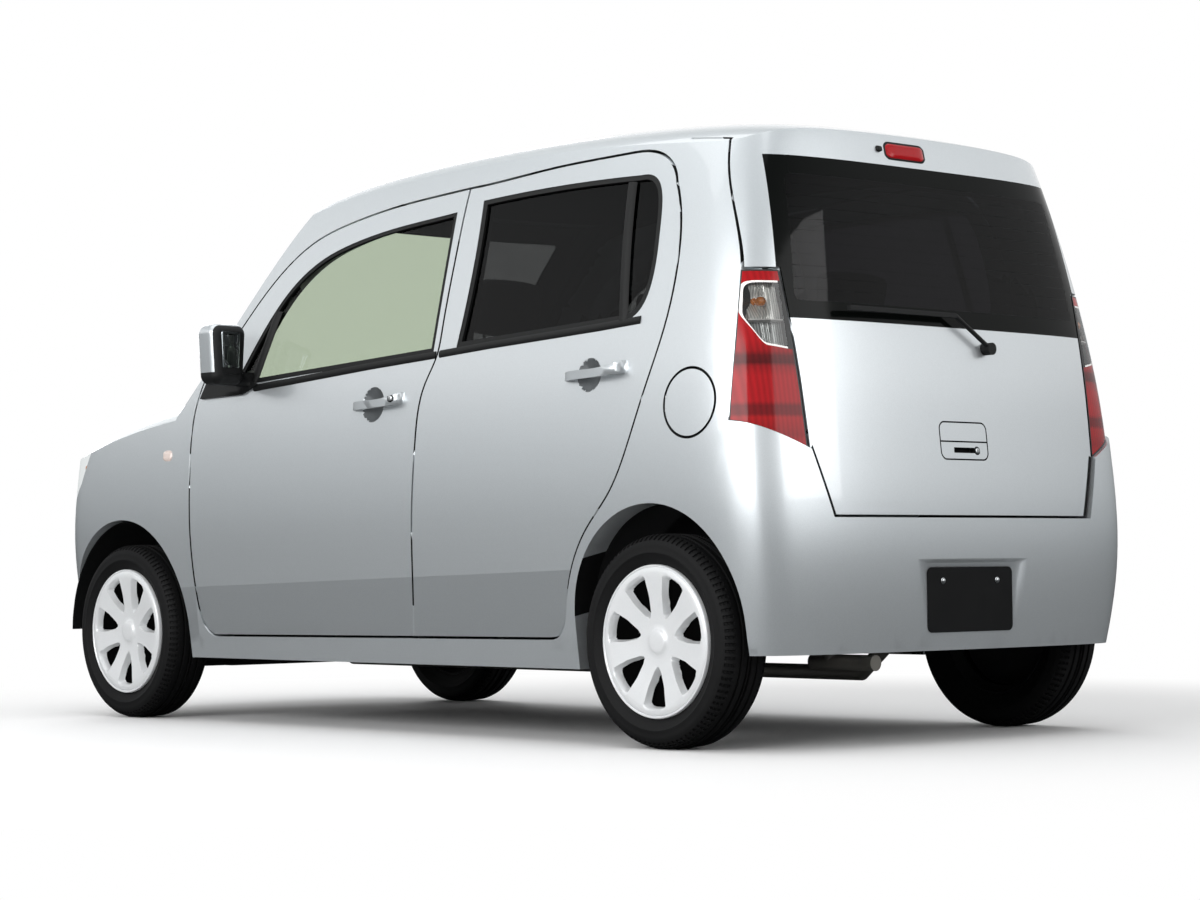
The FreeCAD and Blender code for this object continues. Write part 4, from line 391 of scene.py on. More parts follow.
def patterned(name, pattern, settings, tones, sockets, rough=None, bump=None, fine=None):
    """A material whose tones follow a pattern, and its roughness and bump the same one or a finer noise."""
    material, nodes = new_material(name)
    where = add(nodes, "ShaderNodeTexCoord").outputs["Object"]
    kind, output, values = pattern
    grain = add(nodes, kind, {"Vector": where, **settings}, **values).outputs[output]
    sockets = {"Base Color": linear(tones[0]), **sockets}
    if len(tones) > 1:
        tone = add(nodes, "ShaderNodeMix", {"Factor": grain, "A": linear(tones[0]), "B": linear(tones[1])},
                   data_type="RGBA")
        sockets["Base Color"] = tone.outputs["Result"]
    if fine:
        grain = add(nodes, "ShaderNodeTexNoise", {"Vector": where, **fine}).outputs["Fac"]
    if rough:
        worn = add(nodes, "ShaderNodeMapRange", {"Value": grain, "To Min": rough[0], "To Max": rough[1]})
        sockets["Roughness"] = worn.outputs[0]
    if bump:
        raised = add(nodes, "ShaderNodeBump", {"Height": grain, "Strength": bump[0], "Distance": bump[1]})
        sockets["Normal"] = raised.outputs[0]
    body = add(nodes, "ShaderNodeBsdfPrincipled", sockets)
    add(nodes, "ShaderNodeOutputMaterial", {"Surface": body.outputs[0]})
    return material


lining = patterned("grained_polypropylene_lining", CELLS, {"Scale": 620.0}, ("#3E4140", "#2C2E2E"),
                  {"Roughness": 0.68}, bump=(0.25, 0.0004))

# The walls of the shut lines and apertures: a flat black over the steel's edge, a painted shade of the gaps.
gap_shade_black = patterned("black_weatherstrip", NOISE, {"Scale": 500.0}, ("#060607", "#0E0F10"),
                        {"Roughness": 0.8, "Specular IOR Level": 0.2})

# The finger cups behind the door handles: the same lacquer, painted a darker grey under a weaker coat, a
# painted shade of the hollow under the handle's grip, with a faint mottle.
CUPS = ((-0.125, 0.923), (-1.032, 0.957))
CUP_REACH = 0.060
cup_painted_shade = patterned("cup_lacquer_in_painted_shade", NOISE, {"Scale": 260.0, "Detail": 3.0}, ("#565A5C", "#66696B"),
                       {"Metallic": 0.5, "Roughness": 0.42, "Coat Weight": 0.3, "Coat Roughness": 0.1})

# The wheel arches' inner faces, near the axles and below ARCH_TOP, are painted black as painted shade; the
# roof rail behind REAR_RAIL is painted inside too.
ARCH_Z, ARCH_REACH, ARCH_TOP, REAR_RAIL, TAIL = 0.28, 0.47, 0.72, -1.15, -1.5
CUP_SHALLOW, CUP_DEEP = 0.0015, 0.035
for node in PAINTED:
    panel, inner, walls = merged(node, "painted_" + node)
    for one in (silver, lining, gap_shade_black, cup_painted_shade):
        panel.data.materials.append(one)
    for index in inner:
        place = panel.data.polygons[index].center
        away = min(math.hypot(place.x - axle, place.z - ARCH_Z) for axle in (REAR_AXLE_X, FRONT_AXLE_X))
        in_arch = away < ARCH_REACH and place.z < ARCH_TOP and node[:4] != "door"
        panel.data.polygons[index].material_index = 2 if in_arch else 1
    # The shut lines' walls get the painted gap shade, except on the roof.
    for index in walls:
        panel.data.polygons[index].material_index = 0 if node == "roof" else 2
    for face in panel.data.polygons:
        x, y, z = face.center
        if node[:5] in ("side_", "roof") and z > RAIL_FOOT and x < REAR_RAIL:
            face.material_index = 0
        # A band along the tailgate's lower side edges is painted black, a painted shade of the gap to the
        # bumper.
        if node == "tailgate" and z < GAP_BAND_TOP and abs(y) > GAP_BAND_PLACE - GAP_BAND_WIDE + z * GAP_BAND_SLOPE and x < TAIL:
            face.material_index = 2
        # The faces in the cups' hollows get the painted cup shade.
        for cup_x, cup_z in CUPS:
            if node[:4] == "door" and math.hypot(x - cup_x, z - cup_z) < CUP_REACH:
                if CUP_SHALLOW < surface_normal(skins[0], face.center, face.normal)[0] < CUP_DEEP:
                    face.material_index = 3

# Window glass: tempered safety glass with a green tint in the screen and front doors, and dark privacy
# glass behind them. Thin curved panes with a clean gloss; light is tinted at each of their two faces.
# The bonded screen and rear window have a baked black ceramic border, and the rear one heater lines.
# Each edge: the pane's foot and top, its half width there and the border's width.
GREEN_TINT, PRIVACY_TINT = "#E8ECE5", "#87868A"
REAR_EDGE = (1.066, 1.484, 0.590, 0.545, 0.046)
SCREEN_EDGE = (1.005, 1.545, 0.575, 0.490, 0.050)
EDGE_ROUND = 0.030
HEATER_PITCH, HEATER_SHARE = 0.030, 0.035
GLASS_IOR, GLOSS_SHARE = 1.5, 0.3


def edge_mask(nodes, where, foot, top, half_foot, half_top, band):
    """One on the border of a pane that tapers from its foot to its top, and zero inside it."""
    place = add(nodes, "ShaderNodeSeparateXYZ", {0: where.outputs["Object"]})
    slope = (half_top - half_foot) / (top - foot)
    across = add(nodes, "ShaderNodeMath", {0: place.outputs["Y"]}, operation="ABSOLUTE")
    half = add(nodes, "ShaderNodeMath", {0: place.outputs["Z"], 1: slope, 2: half_foot - slope * foot},
               operation="MULTIPLY_ADD")
    sides = add(nodes, "ShaderNodeMath", {0: half.outputs[0], 1: across.outputs[0]}, operation="SUBTRACT")
    low = add(nodes, "ShaderNodeMath", {0: place.outputs["Z"], 1: foot}, operation="SUBTRACT")
    high = add(nodes, "ShaderNodeMath", {0: top, 1: place.outputs["Z"]}, operation="SUBTRACT")
    corner = add(nodes, "ShaderNodeMath", {0: sides.outputs[0], 1: low.outputs[0], 2: EDGE_ROUND},
                 operation="SMOOTH_MIN")
    inside = add(nodes, "ShaderNodeMath", {0: corner.outputs[0], 1: high.outputs[0], 2: EDGE_ROUND},
                 operation="SMOOTH_MIN")
    return add(nodes, "ShaderNodeMath", {0: inside.outputs[0], 1: band}, operation="LESS_THAN")


def pane_glass(name, code, edge=None, heated=False):
    """Tinted glass, clear face on and glossy at a slant, with a black border where an edge is given."""
    material, nodes = new_material(name)
    clear = add(nodes, "ShaderNodeBsdfTransparent", {"Color": linear(code)})
    gloss = add(nodes, "ShaderNodeBsdfGlossy", {"Color": linear("#FFFFFF"), "Roughness": 0.015})
    slant = add(nodes, "ShaderNodeFresnel", {"IOR": GLASS_IOR})
    side = add(nodes, "ShaderNodeNewGeometry")
    front = add(nodes, "ShaderNodeMath", {0: 1.0, 1: side.outputs["Backfacing"]}, operation="SUBTRACT")
    part = add(nodes, "ShaderNodeMath", {0: slant.outputs[0], 1: GLOSS_SHARE}, operation="MULTIPLY")
    share = add(nodes, "ShaderNodeMath", {0: part.outputs[0], 1: front.outputs[0]}, operation="MULTIPLY")
    mix = add(nodes, "ShaderNodeMixShader", {0: share.outputs[0], 1: clear.outputs[0], 2: gloss.outputs[0]})
    if edge:
        where = add(nodes, "ShaderNodeTexCoord")
        border = edge_mask(nodes, where, *edge)
        ceramic = add(nodes, "ShaderNodeBsdfPrincipled", {"Base Color": linear("#080A09"), "Roughness": 0.10,
                      "Specular IOR Level": 0.08})
        if heated:
            place = add(nodes, "ShaderNodeSeparateXYZ", {0: where.outputs["Object"]})
            rows = add(nodes, "ShaderNodeMath", {0: place.outputs["Z"], 1: 1.0 / HEATER_PITCH},
                       operation="MULTIPLY")
            phase = add(nodes, "ShaderNodeMath", {0: rows.outputs[0]}, operation="FRACT")
            line = add(nodes, "ShaderNodeMath", {0: phase.outputs[0], 1: HEATER_SHARE}, operation="LESS_THAN")
            border = add(nodes, "ShaderNodeMath", {0: border.outputs[0], 1: line.outputs[0]},
                         operation="MAXIMUM")
        mix = add(nodes, "ShaderNodeMixShader",
                  {0: border.outputs[0], 1: mix.outputs[0], 2: ceramic.outputs[0]})
    add(nodes, "ShaderNodeOutputMaterial", {"Surface": mix.outputs[0]})
    return material


def finish(node, material):
    """Gives a CAD node one material."""
    frame["nodes"][node].data.materials.clear()
    frame["nodes"][node].data.materials.append(material)


green_glass = pane_glass("green_safety_glass", GREEN_TINT)
privacy_glass = pane_glass("dark_privacy_glass", PRIVACY_TINT)
screen_glass = pane_glass("bonded_windscreen_glass", GREEN_TINT, SCREEN_EDGE)
rear_glass = pane_glass("bonded_rear_window_glass", PRIVACY_TINT, REAR_EDGE, heated=True)
for node, glass in (("windscreen", screen_glass), ("glass_front_left", green_glass),
                    ("glass_front_right", green_glass), ("glass_rear_left", privacy_glass),
                    ("glass_rear_right", privacy_glass), ("tailgate_glass", rear_glass)):
    finish(node, glass)

# Window seals: extruded black rubber round every side pane, pressed into the door's window frame, with a
# dull and slightly uneven sheen. Each is a raised band on the edge of its own pane.
SEAL_PROUD, PANE_FACING, SHARP_TRIM = 0.0075, 0.45, math.radians(40)
BANDS = (("glass_front_left", 1, 0.013), ("glass_front_right", -1, 0.013), ("glass_rear_left", 1, 0.016),
         ("glass_rear_right", -1, 0.016))
seal_rubber = patterned("black_rubber_seal", NOISE, {"Scale": 900.0, "Detail": 3.0}, ("#0A0B0B",),
                        {"Specular IOR Level": 0.3}, rough=(0.48, 0.66))


def finished(bm, name, body, *materials):
    """Puts a finished bmesh in the scene as a smooth-shaded piece that rides on a body."""
    mesh = bpy.data.meshes.new(name)
    bm.to_mesh(mesh)
    bm.free()
    for one in materials:
        mesh.materials.append(one)
    mesh.shade_smooth()
    mesh.set_sharp_from_angle(angle=SHARP_TRIM)
    piece = bpy.data.objects.new(name, mesh)
    bpy.context.scene.collection.objects.link(piece)
    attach(piece, body)
    return piece


def node_copy(node, side=0):
    """A bmesh of a CAD node with its doubles merged, or of one side of it."""
    bm = bmesh.new()
    bm.from_mesh(frame["nodes"][node].data)
    bmesh.ops.remove_doubles(bm, verts=bm.verts, dist=MERGE)
    bmesh.ops.delete(bm, geom=[v for v in bm.verts if v.co.y * side < 0], context="VERTS")
    return bm


for node, side, wide in BANDS:
    bm = node_copy(node)
    bmesh.ops.delete(bm, geom=[f for f in bm.faces if f.normal.y * side < PANE_FACING], context="FACES")
    band = set(bmesh.ops.inset_region(bm, faces=bm.faces[:], thickness=wide, use_even_offset=True,
                                      use_boundary=True)["faces"])
    bmesh.ops.delete(bm, geom=[f for f in bm.faces if f not in band], context="FACES")
    bmesh.ops.solidify(bm, geom=bm.faces[:], thickness=-SEAL_PROUD)
    bmesh.ops.recalc_face_normals(bm, faces=bm.faces[:])
    seal = finished(bm, "seal_" + node, node_body(node), seal_rubber)

# Belt mouldings: a satin black extruded strip along the foot of the side windows, from the mirror foot
# to the rear quarter. Each is a shallow rounded band laid on the door skin.
BELT_RUNS = (("door_front", ((0.466, 0.985), (0.300, 0.994), (0.100, 1.006), (-0.100, 1.018),
                             (-0.322, 1.0285), (-0.388, 1.0315))),
             ("door_rear", ((-0.404, 1.0325), (-0.620, 1.044), (-0.840, 1.053), (-1.050, 1.062),
                            (-1.205, 1.071))))
BELT_TALL, STRIP_SHEET = 0.021, 0.004


def on_skin(origin, ray, lift=0.0):
    """The place where a ray meets the body skin, lifted off it along its normal."""
    flip = Vector((1.0, -1.0 if origin[1] < 0 else 1.0, 1.0))
    spot = skins[0][0].ray_cast(Vector(origin) * flip, Vector(ray) * flip)[0] * flip
    return spot + surface_normal(skins[0], spot, -Vector(ray))[1] * lift


def flank(x, z, side, lift=0.0):
    return on_skin((x, side * 2.0, z), (0.0, -side, 0.0), lift)


def strip_on_flank(name, body, run, wide, sheet, side, sunk, level):
    """A crowned strip along a run of (x, z) places on the flank; level ones grow up, others to both sides."""
    bm = bmesh.new()
    bmesh.ops.create_grid(bm, x_segments=24, y_segments=4, size=1.0)
    for vert in bm.verts:
        reach = (vert.co.x + 1) / 2 * (len(run) - 1)
        first = min(int(reach), len(run) - 2)
        x = run[first][0] + (run[first + 1][0] - run[first][0]) * (reach - first)
        z = run[first][1] + (run[first + 1][1] - run[first][1]) * (reach - first)
        crown = sheet * (1.0 - vert.co.y ** 4)
        if level:
            z += wide * (vert.co.y + 1) / 2
        else:
            x += wide * vert.co.y / 2
        vert.co = flank(x, z, side, crown - sunk)
    bmesh.ops.recalc_face_normals(bm, faces=bm.faces[:])
    bmesh.ops.solidify(bm, geom=bm.faces[:], thickness=sheet)
    strip = finished(bm, name, body, seal_rubber)


for door, run in BELT_RUNS:
    for word, side in SIDES:
        strip_on_flank("belt_" + door + "_" + word, door + "_" + word, run, BELT_TALL, STRIP_SHEET, side, 0.0,
                       True)

# Division bars: black rubber channels between the sliding and the fixed part of each side window. They
# stand on the glass, near the mirror in the front doors and near the tail in the rear doors.
BAR = (0.026, 0.006)
BAR_SUNK = 0.008
DIVISION_RUNS = (("door_front", ((0.397, 1.220), (0.425, 1.140), (0.475, 1.012))),
                 ("door_rear", ((-1.086, 1.450), (-1.106, 1.300), (-1.138, 1.078))))
for door, run in DIVISION_RUNS:
    for word, side in SIDES:
        strip_on_flank("division_" + door + "_" + word, door + "_" + word, run, *BAR, side, BAR_SUNK, False)

# Tyres: moulded black rubber, 155 mm wide with smooth sidewalls, four grooves round the tread and short
# notches across each shoulder. Each is spun from its section about the wheel's axle. The rubber is a dull
# black with patches of dust.
TYRE_RADIUS = 0.270
TYRE_SECTION = ((0.178, 0.050), (0.180, 0.056), (0.187, 0.060), (0.194, 0.0615), (0.201, 0.066),
                (0.212, 0.0725), (0.220, 0.0755), (0.222, 0.0775), (0.226, 0.0775), (0.228, 0.0765),
                (0.238, 0.0770), (0.246, 0.0755), (0.2535, 0.0715), (0.260, 0.0655), (0.2655, 0.0575),
                (0.2685, 0.0480), (0.2692, 0.0330), (0.2640, 0.0320), (0.2640, 0.0250), (0.2696, 0.0240),
                (0.2699, 0.0100), (0.2640, 0.0090), (0.2640, 0.0020), (0.2700, 0.0010))
TYRE_STEPS, RIM_STEPS = 192, 72
NOTCH_IN, NOTCH_OUT, NOTCH_RADIUS, NOTCH_TAPER, NOTCH_DEEP = 0.047, 0.070, 0.255, 0.0012, 0.0035
tyre_rubber = patterned("moulded_tyre_rubber", NOISE, {"Scale": 14.0, "Detail": 3.0}, ("#050506", "#0C0C0D"),
                        {"Specular IOR Level": 0.25}, rough=(0.62, 0.82), bump=(0.15, 0.0004),
                        fine={"Scale": 420.0, "Detail": 4.0})
WHEELS = [(axle + "_" + word, x, side, track / 2) for axle, x, track in (("front", FRONT_AXLE_X, 1.295),
          ("rear", REAR_AXLE_X, 1.290)) for word, side in SIDES]


def spun(bm, section, steps):
    """Spins a section of (radius, y) places about the Y axis."""
    line = [bm.verts.new((0.0, y, radius)) for radius, y in section]
    edges = [bm.edges.new(pair) for pair in zip(line[:-1], line[1:])]
    bmesh.ops.spin(bm, geom=line + edges, cent=(0, 0, 0), axis=(0, 1, 0), dvec=(0, 0, 0), angle=math.tau,
                   steps=steps, use_merge=True, use_normal_flip=False, use_duplicate=False)
    bmesh.ops.remove_doubles(bm, verts=bm.verts, dist=MERGE / 2)
    bmesh.ops.recalc_face_normals(bm, faces=bm.faces[:])


for name, x, side, y in WHEELS:
    bm = bmesh.new()
    spun(bm, TYRE_SECTION + tuple((radius, -across) for radius, across in TYRE_SECTION[::-1]), TYRE_STEPS)
    notched = []
    for face in bm.faces:
        mid = face.calc_center_median()
        turn = int((math.atan2(mid.x, mid.z) % math.tau) / math.tau * TYRE_STEPS)
        if turn % 2 and NOTCH_IN < abs(mid.y) < NOTCH_OUT and math.hypot(mid.x, mid.z) > NOTCH_RADIUS:
            notched.append(face)
    bmesh.ops.inset_individual(bm, faces=notched, thickness=NOTCH_TAPER, depth=-NOTCH_DEEP)
    bmesh.ops.translate(bm, verts=bm.verts, vec=(x, side * y, TYRE_RADIUS))
    tyre = finished(bm, "tread_" + name, "wheel_" + name, tyre_rubber)
    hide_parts("tyre_" + name)

# Steel wheels: pressed black rims with a drop centre and a dished disc, seen from behind; the covers' windows
# aren't cut, so their black is painted on the covers. Spun from sheet and painted, which gives a dark satin.
RIM_SHEET = 0.003
RIM_SECTION = ((0.1775, -0.0555), (0.1740, -0.0545), (0.1700, -0.0440), (0.1560, -0.0300), (0.1560, 0.0000),
               (0.1690, 0.0300), (0.1700, 0.0440), (0.1740, 0.0545), (0.1775, 0.0555))
DISC_SECTION = ((0.1560, 0.0000), (0.1500, 0.0160), (0.1250, 0.0330), (0.0900, 0.0360), (0.0600, 0.0310),
                (0.0300, 0.0360), (0.0, 0.0370))
chassis_black = patterned("satin_black_steel", NOISE, {"Scale": 22.0, "Detail": 5.0}, ("#0C0C0D", "#1B1C1D"),
                         {"Roughness": 0.6, "Specular IOR Level": 0.25})
for name, x, side, y in WHEELS:
    bm = bmesh.new()
    spun(bm, RIM_SECTION, RIM_STEPS)
    spun(bm, DISC_SECTION, RIM_STEPS)
    bmesh.ops.scale(bm, verts=bm.verts, vec=(1.0, side, 1.0))
    bmesh.ops.recalc_face_normals(bm, faces=bm.faces[:])
    bmesh.ops.solidify(bm, geom=bm.faces[:], thickness=RIM_SHEET)
    bmesh.ops.translate(bm, verts=bm.verts, vec=(x, side * y, TYRE_RADIUS))
    rim = finished(bm, "rim_" + name, "wheel_" + name, chassis_black)
    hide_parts("wheel_" + name)

# Wheel covers: moulded ABS in a pale satin silver paint, clipped over the rims. Seven broad spokes flare to
# a flat rim; between them sloping pockets run down to floors painted black for openings, which aren't cut,
# and the middle is a plain raised cap.
SPOKES = 7
COVER_FACE = 0.0725
COVER_ROWS = (0.0, 0.010, 0.020, 0.026, 0.029, 0.032, 0.036, 0.046, 0.056, 0.064, 0.070, 0.074, 0.079, 0.085,
              0.092, 0.099, 0.106, 0.113, 0.120, 0.127, 0.134, 0.141, 0.147, 0.152, 0.156, 0.160, 0.163,
              0.165, 0.168, 0.172, 0.177, 0.181, 0.184, 0.1865, 0.189, 0.1915, 0.193, 0.193)
COVER_HEIGHTS = ((0.0, -0.0075), (0.024, -0.0080), (0.029, -0.0095), (0.034, -0.0150), (0.060, -0.0140),
                 (0.100, -0.0095), (0.140, -0.0035), (0.166, -0.0002), (0.177, 0.0), (0.184, -0.0016),
                 (0.1865, -0.0036), (0.189, -0.0014), (0.1915, -0.0016), (0.193, -0.0044))
# The windows between the spokes: their inner and outer radius, their half angles there in degrees, how far
# they flare and their corners. A pocket's wall leads down to its floor.
WINDOW_IN, WINDOW_OUT, WINDOW_NARROW, WINDOW_WIDE, WINDOW_FLARE = 0.066, 0.169, 6.0, 8.2, 0.050
FLARE_CURVE, WINDOW_CORNER, WINDOW_COLUMN = 0.6, 0.005, 0.45
POCKET_DEEP, POCKET_WALL, POCKET_LIMIT, COVER_LIP = 0.024, 0.0058, 1.4, 0.008
# From the first of these shares of a pocket's depth to the second its floor turns black: painted shade and
# the steel rim's black, standing in for an opening that isn't cut.
OPENING_SHADE_FROM, OPENING_SHADE_TO = 0.90, 0.93
GRID_MERGE, SPIN_MERGE = 0.00005, 0.0002
COVER_COLUMNS = (-1.0, -0.86, -0.72, -0.60, -0.50, -0.45, -0.40, -0.34, -0.28, -0.21, -0.14, -0.07, 0.0)
cover_paint, nodes = new_material("silver_painted_abs")
where = add(nodes, "ShaderNodeTexCoord")
flakes = add(nodes, "ShaderNodeTexVoronoi", {"Vector": where.outputs["Object"], "Scale": 900.0})
tone = add(nodes, "ShaderNodeMix", {"Factor": flakes.outputs["Distance"], "A": linear("#DEE0E1"),
                                    "B": linear("#D0D2D4")}, data_type="RGBA")
body = add(nodes, "ShaderNodeBsdfPrincipled", {"Base Color": tone.outputs["Result"], "Metallic": 0.20,
                                               "Roughness": 0.36, "Coat Weight": 0.4, "Coat Roughness": 0.12})
# Deep in the pockets the paint gives way to black, a painted stand-in for the openings' shade and the rim.
depth = add(nodes, "ShaderNodeAttribute", attribute_name="pocket")
opening_shade = add(nodes, "ShaderNodeMapRange", {"Value": depth.outputs["Fac"], "From Min": OPENING_SHADE_FROM,
                                         "From Max": OPENING_SHADE_TO})
dark = add(nodes, "ShaderNodeBsdfDiffuse", {"Color": linear("#060606")})
mix = add(nodes, "ShaderNodeMixShader", {0: opening_shade.outputs[0], 1: body.outputs[0], 2: dark.outputs[0]})
add(nodes, "ShaderNodeOutputMaterial", {"Surface": mix.outputs[0]})


def cover_height(radius):
    """How far the cover's face stands out from its flat rim at a radius."""
    for (low, first), (high, last) in zip(COVER_HEIGHTS[:-1], COVER_HEIGHTS[1:]):
        if radius <= high:
            share = (radius - low) / (high - low)
            share = share * share * (3.0 - 2.0 * share) if high - low < 0.008 else share
            return first + (last - first) * share
    return COVER_HEIGHTS[-1][1]


def window_inside(radius, turn, half):
    """How far a place is inside a window's edge, with rounded corners."""
    sides = ((half - abs(turn)) * radius, radius - WINDOW_IN, WINDOW_OUT - radius)
    return -WINDOW_CORNER * math.log(sum(math.exp(-side / WINDOW_CORNER) for side in sides))


for name, x, side, y in WHEELS:
    bm = bmesh.new()
    pocket = bm.verts.layers.float.new("pocket")
    columns = COVER_COLUMNS + tuple(-share for share in COVER_COLUMNS[-2::-1])
    bmesh.ops.create_grid(bm, x_segments=len(columns) - 1, y_segments=len(COVER_ROWS) - 1, size=1.0)
    sector = math.pi / SPOKES
    for vert in bm.verts:
        column = columns[round((vert.co.x + 1) / 2 * (len(columns) - 1))]
        row = round((vert.co.y + 1) / 2 * (len(COVER_ROWS) - 1))
        radius = COVER_ROWS[row]
        flare = min(1.0, max(0.0, (radius - WINDOW_IN) / WINDOW_FLARE)) ** FLARE_CURVE
        half = math.radians(WINDOW_NARROW + WINDOW_WIDE * flare)
        edge = half / sector
        share = abs(column) / WINDOW_COLUMN * edge
        if abs(column) >= WINDOW_COLUMN:
            share = edge + (abs(column) - WINDOW_COLUMN) / (1.0 - WINDOW_COLUMN) * (1.0 - edge)
        turn = math.copysign(share * sector, column)
        inside = window_inside(radius, turn, half)
        deep = min(max(inside, 0.0) / POCKET_WALL, POCKET_LIMIT)
        vert[pocket] = deep
        height = cover_height(radius) - min(deep, 1.0) * POCKET_DEEP
        if row == len(COVER_ROWS) - 1:
            height -= COVER_LIP
        angle = turn + sector
        vert.co = (radius * math.sin(angle), COVER_FACE + height, radius * math.cos(angle))
    bmesh.ops.remove_doubles(bm, verts=bm.verts, dist=GRID_MERGE)
    geom = bm.verts[:] + bm.edges[:] + bm.faces[:]
    bmesh.ops.spin(bm, geom=geom, cent=(0, 0, 0), axis=(0, 1, 0), dvec=(0, 0, 0),
                   angle=math.tau * (SPOKES - 1) / SPOKES, steps=SPOKES - 1, use_merge=False,
                   use_normal_flip=False, use_duplicate=True)
    bmesh.ops.remove_doubles(bm, verts=bm.verts, dist=SPIN_MERGE)
    bmesh.ops.recalc_face_normals(bm, faces=bm.faces[:])
    if sum(face.normal.y * face.calc_area() for face in bm.faces) < 0:
        bmesh.ops.reverse_faces(bm, faces=bm.faces[:])
    if side < 0:
        bmesh.ops.scale(bm, verts=bm.verts, vec=(1.0, -1.0, 1.0))
        bmesh.ops.reverse_faces(bm, faces=bm.faces[:])
    bmesh.ops.translate(bm, verts=bm.verts, vec=(x, side * y, TYRE_RADIUS))
    cover = finished(bm, "cover_" + name, "wheel_" + name, cover_paint)

# Tail lamps: one red moulded acrylic lens at each rear corner in a black gasket. A clear window at its top
# inner side has a white rim, and an amber bulb and a white divider stand there over a fluted reflector.
LENS_TOP, LENS_KNEE, GASKET = 1.1857, 0.7413, 0.0040
WINDOW_TOP, WINDOW_FOOT, WINDOW_SPLIT, WINDOW_RIM, WINDOW_ROUND = 1.158, 0.988, 1.062, 0.0048, 0.030
# Straight edges of the window and the lens, each as a slope and the place that it goes through.
FOOT_LINE, CUT_LINE, OUTER_LINE = (0.16, 0.578), (2.2, 0.634), (-0.19, 0.654)
UPPER_BACK, LOWER_BACK = (0.0819, -1.5147, LENS_TOP), (0.0134, -1.5292, 1.0086)
INNER_LINE, KNEE_LINE, DIVIDER_FROM = (0.04275, 0.571), (0.4329, 0.552), 0.5785
BANDS_FOOT, BANDS_TOP = 0.742, 1.186
LENS_BANDS = (
    (0.0, "#B01C1E"), (0.045, "#B0141A"), (0.075, "#9C0D14"), (0.17, "#B01418"), (0.19, "#7A0A12"),
    (0.235, "#780A12"), (0.26, "#B00E18"), (0.40, "#B31019"), (0.455, "#980E16"), (0.475, "#5A080D"),
    (0.515, "#66090F"), (0.54, "#9C0F16"), (0.60, "#B5151C"), (0.93, "#B8171D"), (1.0, "#B3141B"))


def least(nodes, values, blend):
    """The smallest of several distances, with its corners rounded."""
    found = values[0].outputs[0]
    for value in values[1:]:
        found = add(nodes, "ShaderNodeMath", {0: found, 1: value.outputs[0], 2: blend},
                    operation="SMOOTH_MIN").outputs[0]
    return found


def from_line(nodes, first, second, slope, offset, sign):
    """How far the first coordinate is past a straight line in the second, times a sign."""
    line = add(nodes, "ShaderNodeMath", {0: second, 1: slope * -sign, 2: offset * -sign},
               operation="MULTIPLY_ADD")
    return add(nodes, "ShaderNodeMath", {0: first, 1: float(sign), 2: line.outputs[0]},
               operation="MULTIPLY_ADD")


red_lens, nodes = new_material("red_acrylic_lens")
where = add(nodes, "ShaderNodeTexCoord")
place = add(nodes, "ShaderNodeSeparateXYZ", {0: where.outputs["Object"]})
across = add(nodes, "ShaderNodeMath", {0: place.outputs["Y"]}, operation="ABSOLUTE").outputs[0]
along, height = place.outputs["X"], place.outputs["Z"]
level = add(nodes, "ShaderNodeMapRange", {"Value": height, "From Min": BANDS_FOOT, "From Max": BANDS_TOP})
bands = add(nodes, "ShaderNodeValToRGB", {0: level.outputs[0]})
fill_ramp(bands.color_ramp, LENS_BANDS)
ribs = add(nodes, "ShaderNodeTexWave", {"Vector": where.outputs["Object"], "Scale": 26.0},
           bands_direction="Y")
deep = add(nodes, "ShaderNodeMapRange", {"Value": ribs.outputs["Fac"], "To Min": 0.62, "To Max": 0.80})
tone = add(nodes, "ShaderNodeVectorMath", {0: bands.outputs[0], "Scale": deep.outputs[0]}, operation="SCALE")
red = add(nodes, "ShaderNodeBsdfPrincipled", {"Base Color": tone.outputs[0], "Roughness": 0.12, "IOR": 1.49,
          "Specular IOR Level": 0.22})
rim = add(nodes, "ShaderNodeBsdfPrincipled", {"Base Color": linear("#F2F0EE"), "Roughness": 0.25})
clear = add(nodes, "ShaderNodeBsdfTransparent", {"Color": linear("#F1F2F1")})
gloss = add(nodes, "ShaderNodeBsdfGlossy", {"Color": linear("#FFFFFF"), "Roughness": 0.02})
slant = add(nodes, "ShaderNodeFresnel", {"IOR": 1.49})
pane = add(nodes, "ShaderNodeMixShader", {0: slant.outputs[0], 1: clear.outputs[0], 2: gloss.outputs[0]})
black = add(nodes, "ShaderNodeBsdfPrincipled", {"Base Color": linear("#0C0C0D"), "Roughness": 0.4})
window = least(nodes, (
    from_line(nodes, height, across, 0.0, WINDOW_TOP, -1),
    from_line(nodes, height, across, FOOT_LINE[0], WINDOW_FOOT - FOOT_LINE[0] * FOOT_LINE[1], 1),
    from_line(nodes, height, across, CUT_LINE[0], WINDOW_FOOT - CUT_LINE[0] * CUT_LINE[1], 1),
    from_line(nodes, across, height, OUTER_LINE[0], OUTER_LINE[1] - WINDOW_TOP * OUTER_LINE[0], -1)),
    WINDOW_ROUND)
upper_side, lower_side = (from_line(nodes, along, height, slope, start - at * slope, -1)
                          for slope, start, at in (UPPER_BACK, LOWER_BACK))
edge = least(nodes, (
    from_line(nodes, height, across, 0.0, LENS_TOP, -1),
    from_line(nodes, across, height, INNER_LINE[0], INNER_LINE[1] - LENS_TOP * INNER_LINE[0], 1),
    add(nodes, "ShaderNodeMath", {0: upper_side.outputs[0], 1: lower_side.outputs[0]}, operation="MAXIMUM"),
    from_line(nodes, height, across, KNEE_LINE[0], LENS_KNEE - KNEE_LINE[1] * KNEE_LINE[0], 1)), 0.0)
in_window = add(nodes, "ShaderNodeMath", {0: window, 1: 0.0}, operation="GREATER_THAN")
in_pane = add(nodes, "ShaderNodeMath", {0: window, 1: WINDOW_RIM}, operation="GREATER_THAN")
